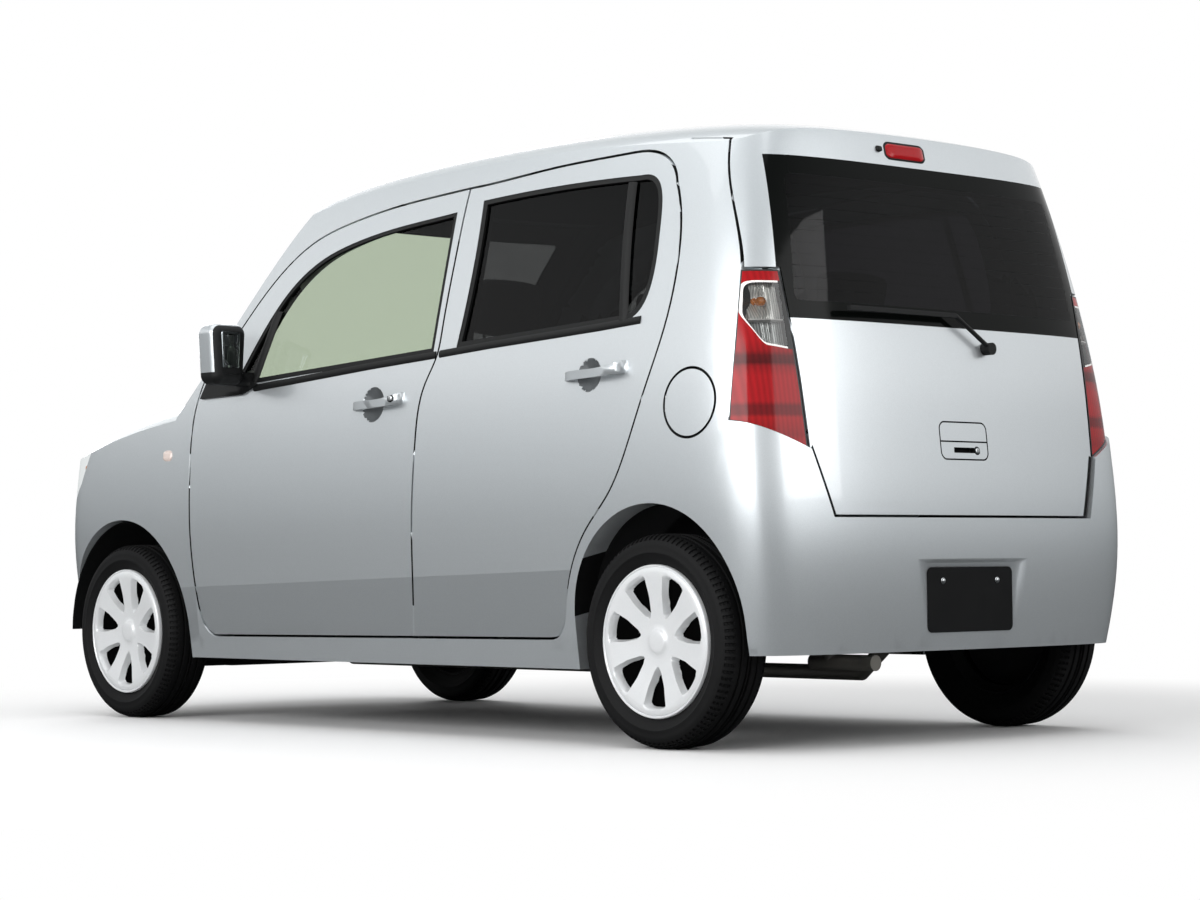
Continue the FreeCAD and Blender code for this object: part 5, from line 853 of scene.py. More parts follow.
beside = add(nodes, "ShaderNodeMath", {0: across, 1: DIVIDER_FROM}, operation="LESS_THAN")
strip = add(nodes, "ShaderNodeMath", {0: in_window.outputs[0], 1: beside.outputs[0]}, operation="MULTIPLY")
on_edge = add(nodes, "ShaderNodeMath", {0: edge, 1: GASKET}, operation="LESS_THAN")
dark = add(nodes, "ShaderNodeMath", {0: strip.outputs[0], 1: on_edge.outputs[0]}, operation="MAXIMUM")
mix = add(nodes, "ShaderNodeMixShader", {0: in_window.outputs[0], 1: red.outputs[0], 2: rim.outputs[0]})
mix = add(nodes, "ShaderNodeMixShader", {0: in_pane.outputs[0], 1: mix.outputs[0], 2: pane.outputs[0]})
mix = add(nodes, "ShaderNodeMixShader", {0: dark.outputs[0], 1: mix.outputs[0], 2: black.outputs[0]})
add(nodes, "ShaderNodeOutputMaterial", {"Surface": mix.outputs[0]})

# The reflector's colour is painted light: a lit tone above WINDOW_SPLIT and a shaded one below, of the same
# metal, with bright and dark stripes for glints on its flutes.
reflector, nodes = new_material("vacuum_metallised_reflector")
where = add(nodes, "ShaderNodeTexCoord")
place = add(nodes, "ShaderNodeSeparateXYZ", {0: where.outputs["Object"]})
upper = add(nodes, "ShaderNodeMath", {0: place.outputs["Z"], 1: WINDOW_SPLIT}, operation="GREATER_THAN")
flute_glints = add(nodes, "ShaderNodeTexWave", {"Vector": where.outputs["Object"], "Scale": 55.0},
             bands_direction="Y")
low = add(nodes, "ShaderNodeMix", {"Factor": flute_glints.outputs["Fac"], "A": linear("#5E6060"),
                                   "B": linear("#A6A8A7")}, data_type="RGBA")
high = add(nodes, "ShaderNodeMix", {"Factor": flute_glints.outputs["Fac"], "A": linear("#A9A9A6"),
                                    "B": linear("#DCDAD6")}, data_type="RGBA")
tone = add(nodes, "ShaderNodeMix", {"Factor": upper.outputs[0], "A": low.outputs["Result"],
                                    "B": high.outputs["Result"]}, data_type="RGBA")
body = add(nodes, "ShaderNodeBsdfPrincipled", {"Base Color": tone.outputs["Result"], "Metallic": 0.5,
                                               "Roughness": 0.28})
add(nodes, "ShaderNodeOutputMaterial", {"Surface": body.outputs[0]})
# The bulb's amber darkens towards its rim as seen, a painted shade of the round glass.
amber_glass, nodes = new_material("amber_bulb_glass")
edge = add(nodes, "ShaderNodeLayerWeight", {"Blend": 0.4})
tone = add(nodes, "ShaderNodeMix", {"Factor": edge.outputs["Facing"], "A": linear("#DE8430"),
                                    "B": linear("#A85A1E")}, data_type="RGBA")
body = add(nodes, "ShaderNodeBsdfPrincipled", {"Base Color": tone.outputs["Result"], "Roughness": 0.1,
                                               "Coat Weight": 0.8})
add(nodes, "ShaderNodeOutputMaterial", {"Surface": body.outputs[0]})
white_plastic = patterned("white_moulded_divider", NOISE, {"Scale": 300.0}, ("#F4F1EF", "#E2DFDD"),
                         {"Roughness": 0.3})
REFLECTOR_AT, REFLECTOR_HALF, REFLECTOR_SUNK = (0.622, 1.073), (0.050, 0.090), 0.026
BULB_AT, BULB_SUNK, HOLLOW_REACH, HOLLOW_DEEP = (0.630, 1.113), 0.030, 0.036, 0.012
FLUTE_DEEP, FLUTE_TURN = 0.0008, 1450.0
DIVIDER_AT, DIVIDER_HALF, DIVIDER_SUNK, DIVIDER_REACH = 0.618, 0.040, 0.0145, 0.0115
BULB = ((0.0, 0.026), (0.0060, 0.0252), (0.0105, 0.0215), (0.0125, 0.015), (0.0118, 0.007), (0.0085, 0.0),
        (0.0075, -0.006), (0.0100, -0.007), (0.0100, -0.022), (0.0, -0.022))

for word, side in SIDES:
    bm = node_copy("tail_lamps", side)
    lens = finished(bm, "lens_" + word, "root", red_lens, reflector)
    inner = set(sum(follow_skins(lens.data), []))
    for face in lens.data.polygons:
        if face.index in inner:
            face.material_index = 1
    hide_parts("tail_lamps")
    bm = bmesh.new()
    bmesh.ops.create_grid(bm, x_segments=44, y_segments=12, size=1.0)
    for vert in bm.verts:
        y = REFLECTOR_AT[0] + vert.co.x * REFLECTOR_HALF[0]
        z = REFLECTOR_AT[1] + vert.co.y * REFLECTOR_HALF[1]
        away = ((y - BULB_AT[0]) ** 2 + (z - BULB_AT[1]) ** 2) / HOLLOW_REACH ** 2
        sunk = REFLECTOR_SUNK + max(0.0, 1.0 - away) * HOLLOW_DEEP - FLUTE_DEEP * math.cos(y * FLUTE_TURN)
        vert.co = on_skin((-3.0, side * y, z), (1.0, 0.0, 0.0), -sunk)
    bmesh.ops.recalc_face_normals(bm, faces=bm.faces[:])
    bmesh.ops.solidify(bm, geom=bm.faces[:], thickness=0.0015)
    finished(bm, "lamp_reflector_" + word, "root", reflector)
    bm = bmesh.new()
    bmesh.ops.create_grid(bm, x_segments=16, y_segments=2, size=1.0)
    for vert in bm.verts:
        y = DIVIDER_AT + vert.co.x * DIVIDER_HALF
        vert.co = on_skin((-3.0, side * y, WINDOW_SPLIT), (1.0, 0.0, 0.0),
                          DIVIDER_REACH * vert.co.y - DIVIDER_SUNK)
    bmesh.ops.solidify(bm, geom=bm.faces[:], thickness=0.003)
    finished(bm, "lamp_divider_" + word, "root", white_plastic)
    bm = bmesh.new()
    spun(bm, BULB, 28)
    bmesh.ops.rotate(bm, verts=bm.verts, cent=(0, 0, 0), matrix=Matrix.Rotation(math.radians(90), 3, "Z"))
    spot = on_skin((-3.0, side * BULB_AT[0], BULB_AT[1]), (1.0, 0.0, 0.0), -BULB_SUNK)
    bmesh.ops.translate(bm, verts=bm.verts, vec=spot)
    finished(bm, "lamp_bulb_" + word, "root", amber_glass)

# Door mirrors: a painted shell on a black grained polypropylene arm and base, with a black bezel at the
# rear round a flat silvered glass, which reflects clearly with a faint haze. The base is screwed to the
# front corner of the door.
MIRROR_PARTING, MIRROR_FOOT, SHELL_FROM = 0.4640, 1.0380, 0.7455
SILVERING_SHARE, SILVERING_PROUD, SILVERING_SHEET = (1.0, 0.80, 0.86), 0.0016, 0.0014
black_grained = patterned("grained_black_polypropylene", CELLS, {"Scale": 700.0}, ("#151617", "#0B0C0C"),
                         {"Roughness": 0.55, "Specular IOR Level": 0.3}, bump=(0.3, 0.0003))
mirror_silver = patterned("silvered_mirror_glass", NOISE, {"Scale": 30.0}, ("#C9D0D3",), {"Metallic": 1.0},
                          rough=(0.02, 0.05))
for word, side in SIDES:
    node = "mirror_" + word
    bm = node_copy(node)
    for spot, facing in (((MIRROR_PARTING, 0, 0), (1, 0, 0)), ((0, 0, MIRROR_FOOT), (0, 0, 1))):
        bmesh.ops.bisect_plane(bm, geom=bm.verts[:] + bm.edges[:] + bm.faces[:], plane_co=spot,
                               plane_no=facing)
    rear = [face for face in bm.faces if face.normal.x < -0.95
            and face.calc_center_median().x < MIRROR_PARTING and face.calc_center_median().z > MIRROR_FOOT]
    for face in bm.faces:
        mid = face.calc_center_median()
        outer = mid.x >= MIRROR_PARTING and mid.z >= MIRROR_FOOT and abs(mid.y) >= SHELL_FROM
        face.material_index = 0 if outer else 1
    glass = bmesh.new()
    corners = [glass.verts.new(vert.co) for vert in {vert for face in rear for vert in face.verts}]
    bmesh.ops.convex_hull(glass, input=corners)
    bmesh.ops.dissolve_limit(glass, angle_limit=0.02, verts=glass.verts[:], edges=glass.edges[:])
    middle = sum((vert.co for vert in glass.verts), Vector()) / len(glass.verts)
    bmesh.ops.translate(glass, verts=glass.verts, vec=-middle)
    bmesh.ops.scale(glass, verts=glass.verts, vec=SILVERING_SHARE)
    bmesh.ops.translate(glass, verts=glass.verts, vec=middle + Vector((-SILVERING_PROUD, 0.0, 0.0)))
    bmesh.ops.solidify(glass, geom=glass.faces[:], thickness=SILVERING_SHEET)
    bmesh.ops.recalc_face_normals(glass, faces=glass.faces[:])
    shell = finished(bm, "shell_" + node, node_body(node), silver, black_grained)
    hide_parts(node)
    finished(glass, "silvering_" + node, node_body(node), mirror_silver)

# Tailgate furniture: the joints round the handle plate, painted black as a painted shade of their grooves,
# its key cylinder of bright, slightly worn nickel plate, the red ribbed acrylic of the high stop lamp, and
# the washer nozzle beside it. The handle plate itself is pressed into the tailgate's own solid.
HANDLE_LOW, HANDLE_HIGH, HANDLE_HALF, HANDLE_MID, HANDLE_X = 0.712, 0.832, 0.106, -0.005, -1.60
JOINT_SHALLOW, JOINT_DEEP, PAD_SHEET, PAD_SUNK = 0.0009, 0.030, 0.0012, 0.0004
STOP_LAMP_AT = (-1.54, 0.0695, 1.524)
panel = bpy.data.objects["painted_tailgate"]
# The groove faces round the handle plate get the black painted gap shade of the shut lines.
for face in panel.data.polygons:
    mid = face.center
    if HANDLE_LOW < mid.z < HANDLE_HIGH and abs(mid.y - HANDLE_MID) < HANDLE_HALF and mid.x < HANDLE_X:
        if JOINT_SHALLOW < surface_normal(skins[0], mid, face.normal)[0] < JOINT_DEEP:
            face.material_index = 2


def piece_tree(name):
    """A search tree over a piece's own faces."""
    mesh = bpy.data.objects[name].data
    return BVHTree.FromPolygons([v.co for v in mesh.vertices], [p.vertices for p in mesh.polygons])


def fitted_pad(name, body, tree, ray, middle, size, corner, rise, slot, *materials):
    """A crowned pad with rounded corners that lies on a surface, as seen along a ray."""
    ray = Vector(ray)
    sideways = Vector((0.0, 1.0, 0.0)) if abs(ray.x) > 0.5 else Vector((1.0, 0.0, 0.0))
    bm = bmesh.new()
    bmesh.ops.create_grid(bm, x_segments=24, y_segments=10, size=1.0)
    for vert in bm.verts:
        u, v = math.sin(vert.co.x * math.pi / 2), math.sin(vert.co.y * math.pi / 2)
        x = u * size[0] / 2
        past = max(0.0, abs(x) - size[0] / 2 + corner)
        z = v * (size[1] / 2 - corner + math.sqrt(max(0.0, corner ** 2 - past ** 2)))
        start = Vector(middle) + sideways * x + Vector((0.0, 0.0, z)) - ray * 0.3
        spot = tree.ray_cast(start, ray)[0]
        vert.co = spot - ray * (rise * (1.0 - max(abs(u), abs(v)) ** 6) - PAD_SUNK)
    bmesh.ops.remove_doubles(bm, verts=bm.verts, dist=MERGE)
    bmesh.ops.recalc_face_normals(bm, faces=bm.faces[:])
    if sum(face.normal.dot(ray) for face in bm.faces) > 0:
        bmesh.ops.reverse_faces(bm, faces=bm.faces[:])
    bmesh.ops.solidify(bm, geom=bm.faces[:], thickness=PAD_SHEET)
    pad = finished(bm, name, body, *materials)
    return pad


stop_lens = patterned("red_stop_lamp_lens", RIBS_ACROSS, {"Scale": 90.0}, ("#8C0C12", "#B5131B"),
                      {"Roughness": 0.15, "Specular IOR Level": 0.3})
tailgate_tree = piece_tree("painted_tailgate")
fitted_pad("stop_lamp_base", "tailgate", tailgate_tree, (1, 0, 0), STOP_LAMP_AT, (0.160, 0.050), 0.022, 0.003,
           "gloss_black", seal_rubber)
fitted_pad("stop_lamp_lens", "tailgate", tailgate_tree, (1, 0, 0), STOP_LAMP_AT, (0.148, 0.040), 0.018, 0.009,
           "tail_lens", stop_lens)
fitted_pad("washer_nozzle", "tailgate", tailgate_tree, (1, 0, 0), (-1.54, 0.168, 1.526), (0.020, 0.017),
           0.008, 0.009, "gloss_black", seal_rubber)
plated = patterned("nickel_plated_zinc", NOISE, {"Scale": 240.0, "Detail": 4.0}, ("#B9BCBD",),
                   {"Metallic": 1.0}, rough=(0.22, 0.42))


def key_cylinder(name, body, tree, ray, middle):
    """A round lock: a black ring, a plated barrel end and its key slot."""
    for part, size, rise, metal in (("ring", 0.023, 0.0022, seal_rubber), ("barrel", 0.0175, 0.0032, plated)):
        fitted_pad(name + "_" + part, body, tree, ray, middle, (size, size), size * 0.499, rise,
                   "gloss_black", metal)
    fitted_pad(name + "_slot", body, tree, ray, middle, (0.0022, 0.010), 0.001, 0.0037, "gloss_black",
               seal_rubber)


key_cylinder("tailgate_lock", "tailgate", tailgate_tree, (1, 0, 0), (-1.66, -0.0535, 0.7475))
for word, side in SIDES:
    key_cylinder("door_lock_" + word, "door_front_" + word, piece_tree("painted_door_front_" + word),
                 (0, -side, 0), (-0.235, side * 0.745, 0.929))

# Side turn lamps: small clear ribbed acrylic lenses, pushed into holes in the front fenders. The amber
# bulb behind gives the glossy lens its warm tone.
turn_lens = patterned("clear_turn_lamp_lens", RIBS_ALONG, {"Scale": 120.0}, ("#C3B0A8", "#D9CDC7"),
                      {"Roughness": 0.12, "Coat Weight": 0.5})
for word, side in SIDES:
    fitted_pad("side_turn_lamp_" + word, "root", piece_tree("painted_front_fenders"), (0, -side, 0),
               (0.901, side * 0.73, 0.8095), (0.050, 0.034), 0.0165, 0.006, "lamp_glass", turn_lens)

# Number plate: a bare pressed aluminium blank, 330 by 165 mm with a raised edge, in a dark enamel dulled
# by road dust. It is held by two plated bolts.
PLATE_X, PLATE_Z, PLATE_SIZE, PLATE_SHEET = -1.6820, 0.366, (0.330, 0.165), 0.0014
plate_enamel = patterned("dark_enamelled_aluminium", NOISE, {"Scale": 18.0, "Detail": 5.0},
                         ("#08090A", "#101011"), {"Specular IOR Level": 0.15}, rough=(0.35, 0.55))
bm = bmesh.new()
bmesh.ops.create_grid(bm, x_segments=1, y_segments=1, size=0.5)
bmesh.ops.scale(bm, verts=bm.verts, vec=(PLATE_SIZE[0], PLATE_SIZE[1], 1.0))
bmesh.ops.bevel(bm, geom=bm.verts[:], offset=0.016, segments=8, profile=0.5, affect="VERTICES", material=-1)
bmesh.ops.inset_region(bm, faces=bm.faces[:], thickness=0.0035, depth=0.0)
bmesh.ops.inset_region(bm, faces=[max(bm.faces, key=lambda f: f.calc_area())], thickness=0.0030,
                       depth=-0.0012)
bmesh.ops.rotate(bm, verts=bm.verts, cent=(0, 0, 0), matrix=Matrix.Rotation(math.radians(90), 3, "X"))
bmesh.ops.rotate(bm, verts=bm.verts, cent=(0, 0, 0), matrix=Matrix.Rotation(math.radians(-90), 3, "Z"))
bmesh.ops.translate(bm, verts=bm.verts, vec=(PLATE_X - PLATE_SHEET - 0.0012, 0.0, PLATE_Z))
bmesh.ops.recalc_face_normals(bm, faces=bm.faces[:])
if sum(face.normal.x * face.calc_area() for face in bm.faces) > 0:
    bmesh.ops.reverse_faces(bm, faces=bm.faces[:])
bmesh.ops.solidify(bm, geom=bm.faces[:], thickness=PLATE_SHEET)
finished(bm, "number_plate_blank", "root", plate_enamel)
for word, y in (("left", 0.105), ("right", -0.105)):
    bm = bmesh.new()
    spun(bm, ((0.0, 0.0045), (0.0035, 0.0042), (0.0058, 0.0030), (0.0065, 0.0008), (0.0080, 0.0), (0.0, 0.0)),
         24)
    bmesh.ops.rotate(bm, verts=bm.verts, cent=(0, 0, 0), matrix=Matrix.Rotation(math.radians(90), 3, "Z"))
    bmesh.ops.translate(bm, verts=bm.verts, vec=(PLATE_X - PLATE_SHEET - 0.0004, y, 0.414))
    finished(bm, "plate_bolt_" + word, "root", plated)

# Headlamps: clear moulded polycarbonate lenses that wrap round the fenders, over a metallised housing with
# two round reflector bowls and an amber turn bulb. Each lens is glued into its housing.
BOWL = ((0.050, 0.0110), (0.0480, 0.0120), (0.0455, 0.0060), (0.0380, 0.0010), (0.0250, -0.0020),
        (0.0160, -0.0025), (0.0150, 0.0040), (0.0110, 0.0085), (0.0050, 0.0102), (0.0, 0.0105))
BOWLS = ((0.420, 0.745, 0.74), (0.528, 0.775, 1.0))
OUTER_FACE, TURN_BULB = 0.003, (0.625, 0.795)
lamp_glass = pane_glass("clear_polycarbonate_lens", "#F2F4F4")
for word, side in SIDES:
    bm = node_copy("headlamps", side)
    lens = finished(bm, "headlamp_lens_" + word, "root", lamp_glass, reflector)
    follow_skins(lens.data)
    for face in lens.data.polygons:
        if all(abs(surface_normal(skin, face.center, face.normal)[0]) > OUTER_FACE
               for skin in (skins[0], skins[4])):
            face.material_index = 1
    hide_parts("headlamps")
    for number, (y, z, scale) in enumerate(BOWLS):
        middle = on_skin((3.0, side * y, z), (-1.0, 0.0, 0.0), -0.0150)
        facing = (on_skin((3.0, side * y, z), (-1.0, 0.0, 0.0), 0.1) - middle).normalized()
        bm = bmesh.new()
        spun(bm, [(radius * scale, out_by * scale) for radius, out_by in BOWL], 40)
        bmesh.ops.rotate(bm, verts=bm.verts, cent=(0, 0, 0),
                         matrix=Vector((0.0, 1.0, 0.0)).rotation_difference(facing).to_matrix())
        bmesh.ops.translate(bm, verts=bm.verts, vec=middle)
        bmesh.ops.solidify(bm, geom=bm.faces[:], thickness=0.0008)
        finished(bm, "headlamp_bowl_%s_%d" % (word, number), "root", plated)
    middle = on_skin((3.0, side * TURN_BULB[0], TURN_BULB[1]), (-1.0, 0.0, 0.0), -0.0140)
    facing = (on_skin((3.0, side * TURN_BULB[0], TURN_BULB[1]), (-1.0, 0.0, 0.0), 0.1) - middle).normalized()
    bm = bmesh.new()
    spun(bm, [(radius * 0.8, out_by * 0.45) for radius, out_by in BULB], 24)
    bmesh.ops.rotate(bm, verts=bm.verts, cent=(0, 0, 0),
                     matrix=Vector((0.0, 1.0, 0.0)).rotation_difference(facing).to_matrix())
    bmesh.ops.translate(bm, verts=bm.verts, vec=middle)
    finished(bm, "headlamp_bulb_" + word, "root", amber_glass)

# Grille, intake slats, cowl and rear wiper: black grained polypropylene mouldings clipped to the body, and
# the wiper's arm of painted steel with a rubber blade. All look the same dull black.
for node in ("grille", "cowl", "rear_wiper"):
    finish(node, black_grained)

# Radiator: a pressed aluminium core with fine fins between its tubes, in a black frame behind the grille
# and the intake. The fins look dark grey with a fine metallic weave.
RADIATOR_X, RADIATOR_HALF, RADIATOR_LOW, RADIATOR_HIGH = 1.540, 0.325, 0.315, 0.735
fin_core, nodes = new_material("finned_aluminium_core")
where = add(nodes, "ShaderNodeTexCoord")
fins = add(nodes, "ShaderNodeTexWave", {"Vector": where.outputs["Object"], "Scale": 90.0},
           bands_direction="Y")
rows = add(nodes, "ShaderNodeTexWave", {"Vector": where.outputs["Object"], "Scale": 30.0},
           bands_direction="Z")
both = add(nodes, "ShaderNodeMath", {0: fins.outputs["Fac"], 1: rows.outputs["Fac"]}, operation="MULTIPLY")
tone = add(nodes, "ShaderNodeMix", {"Factor": both.outputs[0], "A": linear("#17181A"),
                                    "B": linear("#4A4D50")}, data_type="RGBA")
bump = add(nodes, "ShaderNodeBump", {"Height": both.outputs[0], "Strength": 0.6, "Distance": 0.002})
body = add(nodes, "ShaderNodeBsdfPrincipled", {"Base Color": tone.outputs["Result"], "Metallic": 0.6,
                                               "Roughness": 0.5, "Normal": bump.outputs[0]})
add(nodes, "ShaderNodeOutputMaterial", {"Surface": body.outputs[0]})
bm = bmesh.new()
bmesh.ops.create_cube(bm, size=1.0)
bmesh.ops.scale(bm, verts=bm.verts, vec=(0.026, 2 * RADIATOR_HALF, RADIATOR_HIGH - RADIATOR_LOW))
front = [face for face in bm.faces if face.normal.x > 0.5]
bmesh.ops.inset_region(bm, faces=front, thickness=0.024, depth=0.0)
bmesh.ops.inset_region(bm, faces=front, thickness=0.002, depth=-0.006)
for face in bm.faces:
    face.material_index = 1 if face in front else 0
long_edges = [edge for edge in bm.edges if edge.calc_length() > 0.3
              and all(face.material_index == 0 for face in edge.link_faces)]
bmesh.ops.bevel(bm, geom=long_edges, offset=0.002, segments=2, profile=0.5, affect="EDGES", material=-1)
bmesh.ops.translate(bm, verts=bm.verts, vec=(RADIATOR_X - 0.013, 0.0, (RADIATOR_LOW + RADIATOR_HIGH) / 2))
finished(bm, "radiator", "root", chassis_black, fin_core)

# Front wheel arch liners: thin moulded polypropylene half rings behind the fender edges, with shallow ribs
# and an opening round the suspension strut. They are held by push rivets.
LINER_RADIUS, LINER_IN, LINER_OUT, LINER_Z = 0.3425, 0.478, 0.700, 0.272
for word, side in SIDES:
    bm = bmesh.new()
    line = [bm.verts.new((-LINER_RADIUS, LINER_IN + (LINER_OUT - LINER_IN) * step / 8, 0.0))
            for step in range(9)]
    edges = [bm.edges.new(pair) for pair in zip(line[:-1], line[1:])]
    bmesh.ops.spin(bm, geom=line + edges, cent=(0, 0, 0), axis=(0, 1, 0), dvec=(0, 0, 0), angle=math.pi,
                   steps=56, use_merge=False, use_normal_flip=False, use_duplicate=False)
    bmesh.ops.delete(bm, geom=[f for f in bm.faces if f.calc_center_median().y < 0.62
                               and abs(f.calc_center_median().x) < 0.085], context="FACES")
    for vert in bm.verts:
        rib = math.cos(math.atan2(vert.co.x, vert.co.z) * 14.0)
        vert.co.xz = vert.co.xz * (1.0 - 0.006 * max(0.0, rib - 0.6))
    bmesh.ops.scale(bm, verts=bm.verts, vec=(1.0, side, 1.0))
    bmesh.ops.translate(bm, verts=bm.verts, vec=(FRONT_AXLE_X, 0.0, LINER_Z))
    bmesh.ops.recalc_face_normals(bm, faces=bm.faces[:])
    bmesh.ops.solidify(bm, geom=bm.faces[:], thickness=0.002)
    finished(bm, "arch_liner_" + word, "root", black_grained)

# Running gear: forged knuckles, welded black subframe and rear axle, and an engine block of sand cast
# aluminium, grainy and stained, under a moulded ribbed cover that sits on the block's top.
COVER_X, COVER_HALF, COVER_FOOT, COVER_RISE = 1.175, (0.130, 0.235), 0.8210, 0.038
cast_metal = patterned("sand_cast_aluminium", NOISE, {"Scale": 9.0, "Detail": 5.0}, ("#55575A", "#84878A"),
                       {"Metallic": 0.8, "Roughness": 0.55}, bump=(0.4, 0.0006),
                       fine={"Scale": 320.0, "Detail": 4.0})
for node in ("engine", "knuckle_left", "knuckle_right", "front_subframe", "rear_axle"):
    finish(node, cast_metal if node[0] in "ek" else chassis_black)
bm = bmesh.new()
bmesh.ops.create_grid(bm, x_segments=26, y_segments=14, size=1.0)
for vert in bm.verts:
    edge = max(abs(vert.co.x), abs(vert.co.y))
    rib = 0.004 if abs(math.sin(vert.co.x * 13.0)) > 0.55 and abs(vert.co.y) < 0.72 else 0.0
    height = COVER_FOOT + COVER_RISE * (1.0 - edge ** 10) + rib * (1.0 - edge ** 6)
    vert.co = (COVER_X + vert.co.y * COVER_HALF[0], vert.co.x * COVER_HALF[1], height)
bmesh.ops.recalc_face_normals(bm, faces=bm.faces[:])
bmesh.ops.solidify(bm, geom=bm.faces[:], thickness=0.002)
finished(bm, "engine_cover", "root", black_grained)

# Exhaust: welded stainless steel pipes and silencer, hung under the floor. Heat and road dirt have dulled
# it to a brownish grey with brighter patches.
finish("exhaust", patterned("weathered_stainless_steel", NOISE, {"Scale": 7.0, "Detail": 6.0},
                            ("#6B6862", "#95928C"), {"Metallic": 0.9}, rough=(0.35, 0.6)))

# Floor: pressed steel under a rough dark grey stone-chip sealer outside, with a soft needled carpet on its
# upper side in the cabin and the load space.
sealer = patterned("stone_chip_sealer", NOISE, {"Scale": 5.0, "Detail": 5.0}, ("#26282A", "#3A3B3C"),
                   {"Roughness": 0.75}, bump=(0.5, 0.001), fine={"Scale": 260.0, "Detail": 3.0})
CARPET_FRONT, TUB_REACH, TUB_SIDE = 0.75, 0.44, 0.45
carpet = patterned("needled_carpet", CELLS, {"Scale": 480.0}, ("#2E2E30", "#19191A"),
                  {"Roughness": 0.95, "Sheen Weight": 0.3}, bump=(0.8, 0.0015))
pan = merged("floor_pan", "pressed_floor")[0]
for one in (sealer, carpet, gap_shade_black):
    pan.data.materials.append(one)
for face in pan.data.polygons:
    x, y, z = face.center
    face.material_index = 1 if face.normal.z > 0.5 and x < CARPET_FRONT else 0
    # The wheel tubs' faces round the rear wheels get the same black as the arches, a painted shade.
    toward = (REAR_AXLE_X - x) * face.normal.x + (TYRE_RADIUS - z) * face.normal.z
    near = math.hypot(x - REAR_AXLE_X, z - TYRE_RADIUS) < TUB_REACH and abs(y) > TUB_SIDE
    if near and toward > -0.01 and face.normal.z < 0.5:
        face.material_index = 2

# Dashboard, steering wheel and door posts: moulded plastic in two greys with a soft leather grain, which
# gives a dull surface without highlights. Their forms are the CAD nodes' own.
dash_plastic = patterned("soft_grained_dashboard_plastic", CELLS, {"Scale": 560.0}, ("#4A4845", "#343331"),
                        {"Roughness": 0.62}, bump=(0.35, 0.0004))
finish("dashboard", dash_plastic)
finish("door_posts", lining)

# Seats: foam pads in a dark woven cloth on steel frames, two in front and a bench with two backs behind.
# Each pad is blown up by a cloth simulation, and sewn channels are pressed into it afterwards.
SEAT_VOXEL, SEAT_PRESSURE, SEAT_CAP, SEAT_INSET, SEAT_STEPS = 0.010, 4.0, 0.022, 0.012, 20
SEAM_DEEP, SEAM_WIDE = 0.010, 0.0075
seat_cloth, nodes = new_material("woven_seat_cloth")
where = add(nodes, "ShaderNodeTexCoord")
# The real thread pitch of about 1 mm is too fine for the render, so it is drawn at 3 mm.
warp = add(nodes, "ShaderNodeTexWave", {"Vector": where.outputs["Object"], "Scale": 105.0},
           bands_direction="Y")
weft = add(nodes, "ShaderNodeTexWave", {"Vector": where.outputs["Object"], "Scale": 105.0},
           bands_direction="Z")
weave = add(nodes, "ShaderNodeMath", {0: warp.outputs["Fac"], 1: weft.outputs["Fac"]}, operation="MULTIPLY")
tone = add(nodes, "ShaderNodeMix", {"Factor": weave.outputs[0], "A": linear("#26272A"),
                                    "B": linear("#4C4D50")}, data_type="RGBA")
bump = add(nodes, "ShaderNodeBump", {"Height": weave.outputs[0], "Strength": 0.5, "Distance": 0.0008})
body = add(nodes, "ShaderNodeBsdfPrincipled", {"Base Color": tone.outputs["Result"], "Roughness": 0.92,
           "Sheen Weight": 0.35, "Normal": bump.outputs[0]})
add(nodes, "ShaderNodeOutputMaterial", {"Surface": body.outputs[0]})


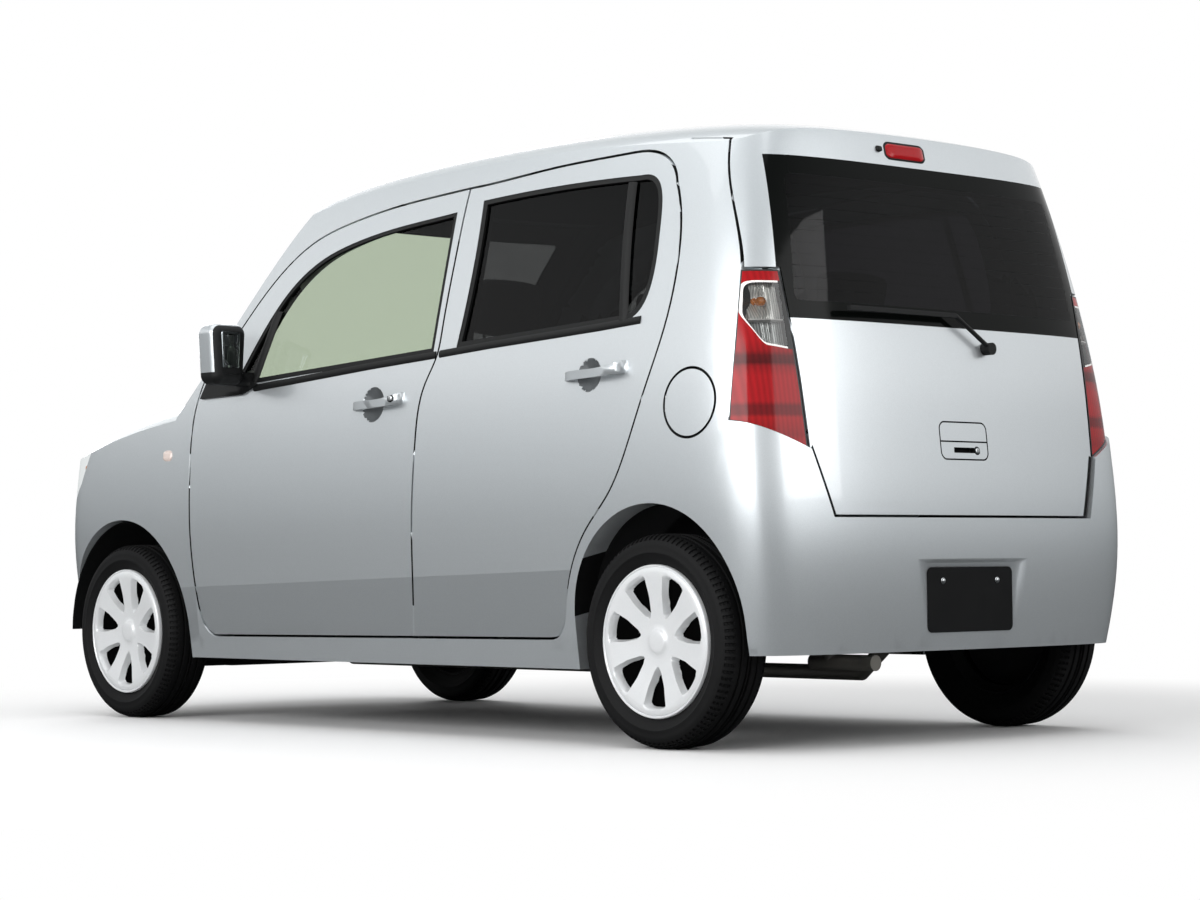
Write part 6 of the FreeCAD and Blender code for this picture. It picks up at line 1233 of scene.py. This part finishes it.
def blown_pad(name, size, seams, top):
    """The mesh of one padded form about the origin, with channels sewn into its top (Z) or front (X) side."""
    bm = bmesh.new()
    bmesh.ops.create_cube(bm, size=1.0)
    bmesh.ops.scale(bm, verts=bm.verts, vec=[length - SEAT_INSET for length in size])
    bmesh.ops.subdivide_edges(bm, edges=bm.edges[:], cuts=7, use_grid_fill=True)
    for turn in range(3):
        bmesh.ops.smooth_vert(bm, verts=bm.verts, factor=0.5, use_axis_x=True, use_axis_y=True,
                              use_axis_z=True)
    mesh = bpy.data.meshes.new(name)
    bm.to_mesh(mesh)
    bm.free()
    form = bpy.data.objects.new(name + "_form", mesh)
    bpy.context.scene.collection.objects.link(form)
    shape = form.modifiers.new("voxels", "REMESH")
    shape.mode, shape.voxel_size = "VOXEL", SEAT_VOXEL
    bpy.context.view_layer.update()
    form.data = bpy.data.meshes.new_from_object(form.evaluated_get(bpy.context.evaluated_depsgraph_get()))
    form.modifiers.clear()
    rest = [vert.co.copy() for vert in form.data.vertices]
    cloth = form.modifiers.new("cloth", "CLOTH")
    cloth.settings.quality = 4
    cloth.settings.use_pressure = True
    cloth.settings.uniform_pressure_force = SEAT_PRESSURE
    cloth.settings.effector_weights.gravity = 0.0
    cloth.point_cache.frame_start, cloth.point_cache.frame_end = 1, SEAT_STEPS
    for step in range(1, SEAT_STEPS + 1):
        bpy.context.scene.frame_set(step)
    blown = form.evaluated_get(bpy.context.evaluated_depsgraph_get()).data
    moved = [vert.co - place for vert, place in zip(blown.vertices, rest)]
    form.modifiers.clear()
    for vert, place, step in zip(form.data.vertices, rest, moved):
        vert.co = place + (step * (SEAT_CAP / step.length) if step.length > SEAT_CAP else step)
    bpy.context.scene.frame_set(1)
    finer = form.modifiers.new("finer", "SUBSURF")
    finer.levels = finer.render_levels = 1
    bpy.context.view_layer.update()
    mesh = bpy.data.meshes.new_from_object(form.evaluated_get(bpy.context.evaluated_depsgraph_get()))
    bpy.data.objects.remove(form)
    for vert in mesh.vertices:
        up_by = vert.co.z / size[2] * 2 if top else vert.co.x / size[0] * 2
        for at in seams:
            if up_by > 0.0:
                groove = SEAM_DEEP * math.exp(-((abs(vert.co.y) - at) / SEAM_WIDE) ** 2) * up_by
                vert.co -= Vector((0.0, 0.0, groove) if top else (groove, 0.0, 0.0))
    return mesh


CUSHION = blown_pad("cushion", (0.470, 0.455, 0.125), (0.135,), True)
BACKREST = blown_pad("backrest", (0.112, 0.440, 0.560), (0.130,), False)
HEADREST = blown_pad("headrest", (0.095, 0.245, 0.165), (0.085,), False)
BENCH = blown_pad("bench", (0.470, 1.090, 0.125), (0.0, 0.270), True)
BENCH_BACK = blown_pad("bench_back", (0.112, 0.535, 0.560), (0.150,), False)
FRONT_X, BENCH_X = -0.0401, -0.7899
PADS = (("front_cushion_left", CUSHION, (FRONT_X + 0.165, 0.325, 0.541), -3.0, "front_seats"),
        ("front_cushion_right", CUSHION, (FRONT_X + 0.165, -0.325, 0.541), -3.0, "front_seats"),
        ("front_backrest_left", BACKREST, (FRONT_X - 0.100, 0.325, 0.850), -14.0, "front_seats"),
        ("front_backrest_right", BACKREST, (FRONT_X - 0.100, -0.325, 0.850), -14.0, "front_seats"),
        ("front_headrest_left", HEADREST, (FRONT_X - 0.186, 0.325, 1.202), -8.0, "front_seats"),
        ("front_headrest_right", HEADREST, (FRONT_X - 0.186, -0.325, 1.202), -8.0, "front_seats"),
        ("bench_cushion", BENCH, (BENCH_X + 0.165, 0.0, 0.541), -3.0, "rear_seat"),
        ("bench_backrest_left", BENCH_BACK, (BENCH_X - 0.100, 0.2745, 0.850), -14.0, "rear_seat"),
        ("bench_backrest_right", BENCH_BACK, (BENCH_X - 0.100, -0.2745, 0.850), -14.0, "rear_seat"),
        ("bench_headrest_left", HEADREST, (BENCH_X - 0.186, 0.325, 1.202), -8.0, "rear_seat"),
        ("bench_headrest_right", HEADREST, (BENCH_X - 0.186, -0.325, 1.202), -8.0, "rear_seat"))
for name, form, place, lean, node in PADS:
    mesh = form.copy()
    mesh.name = name
    mesh.transform(Matrix.Translation(place) @ Matrix.Rotation(math.radians(lean), 4, "Y"))
    mesh.materials.clear()
    mesh.materials.append(seat_cloth)
    mesh.shade_smooth()
    pad = bpy.data.objects.new(name, mesh)
    bpy.context.scene.collection.objects.link(pad)
    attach(pad, "root")
    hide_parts(node)

# Headrest posts: bright plated steel rods, two under each headrest, that lean back with it and go into the
# backrest's frame.
POST_RADIUS, POST_APART, POST_BACK, POST_FOOT, POST_RUN = 0.006, 0.06, 0.158, 1.085, (-0.014, 0.0, 0.070)
for name, x, y in (("front_left", FRONT_X, 0.325), ("front_right", FRONT_X, -0.325),
                   ("rear_left", BENCH_X, 0.325), ("rear_right", BENCH_X, -0.325)):
    bm = bmesh.new()
    for shift in (-POST_APART, POST_APART):
        ring = bmesh.ops.create_circle(bm, segments=16, radius=POST_RADIUS)["verts"]
        bmesh.ops.translate(bm, verts=ring, vec=(x - POST_BACK, y + shift, POST_FOOT))
        edges = list({edge for vert in ring for edge in vert.link_edges})
        drawn = bmesh.ops.extrude_edge_only(bm, edges=edges)["geom"]
        bmesh.ops.translate(bm, verts=[v for v in drawn if isinstance(v, bmesh.types.BMVert)], vec=POST_RUN)
    bmesh.ops.recalc_face_normals(bm, faces=bm.faces[:])
    finished(bm, "headrest_posts_" + name, "root", plated)
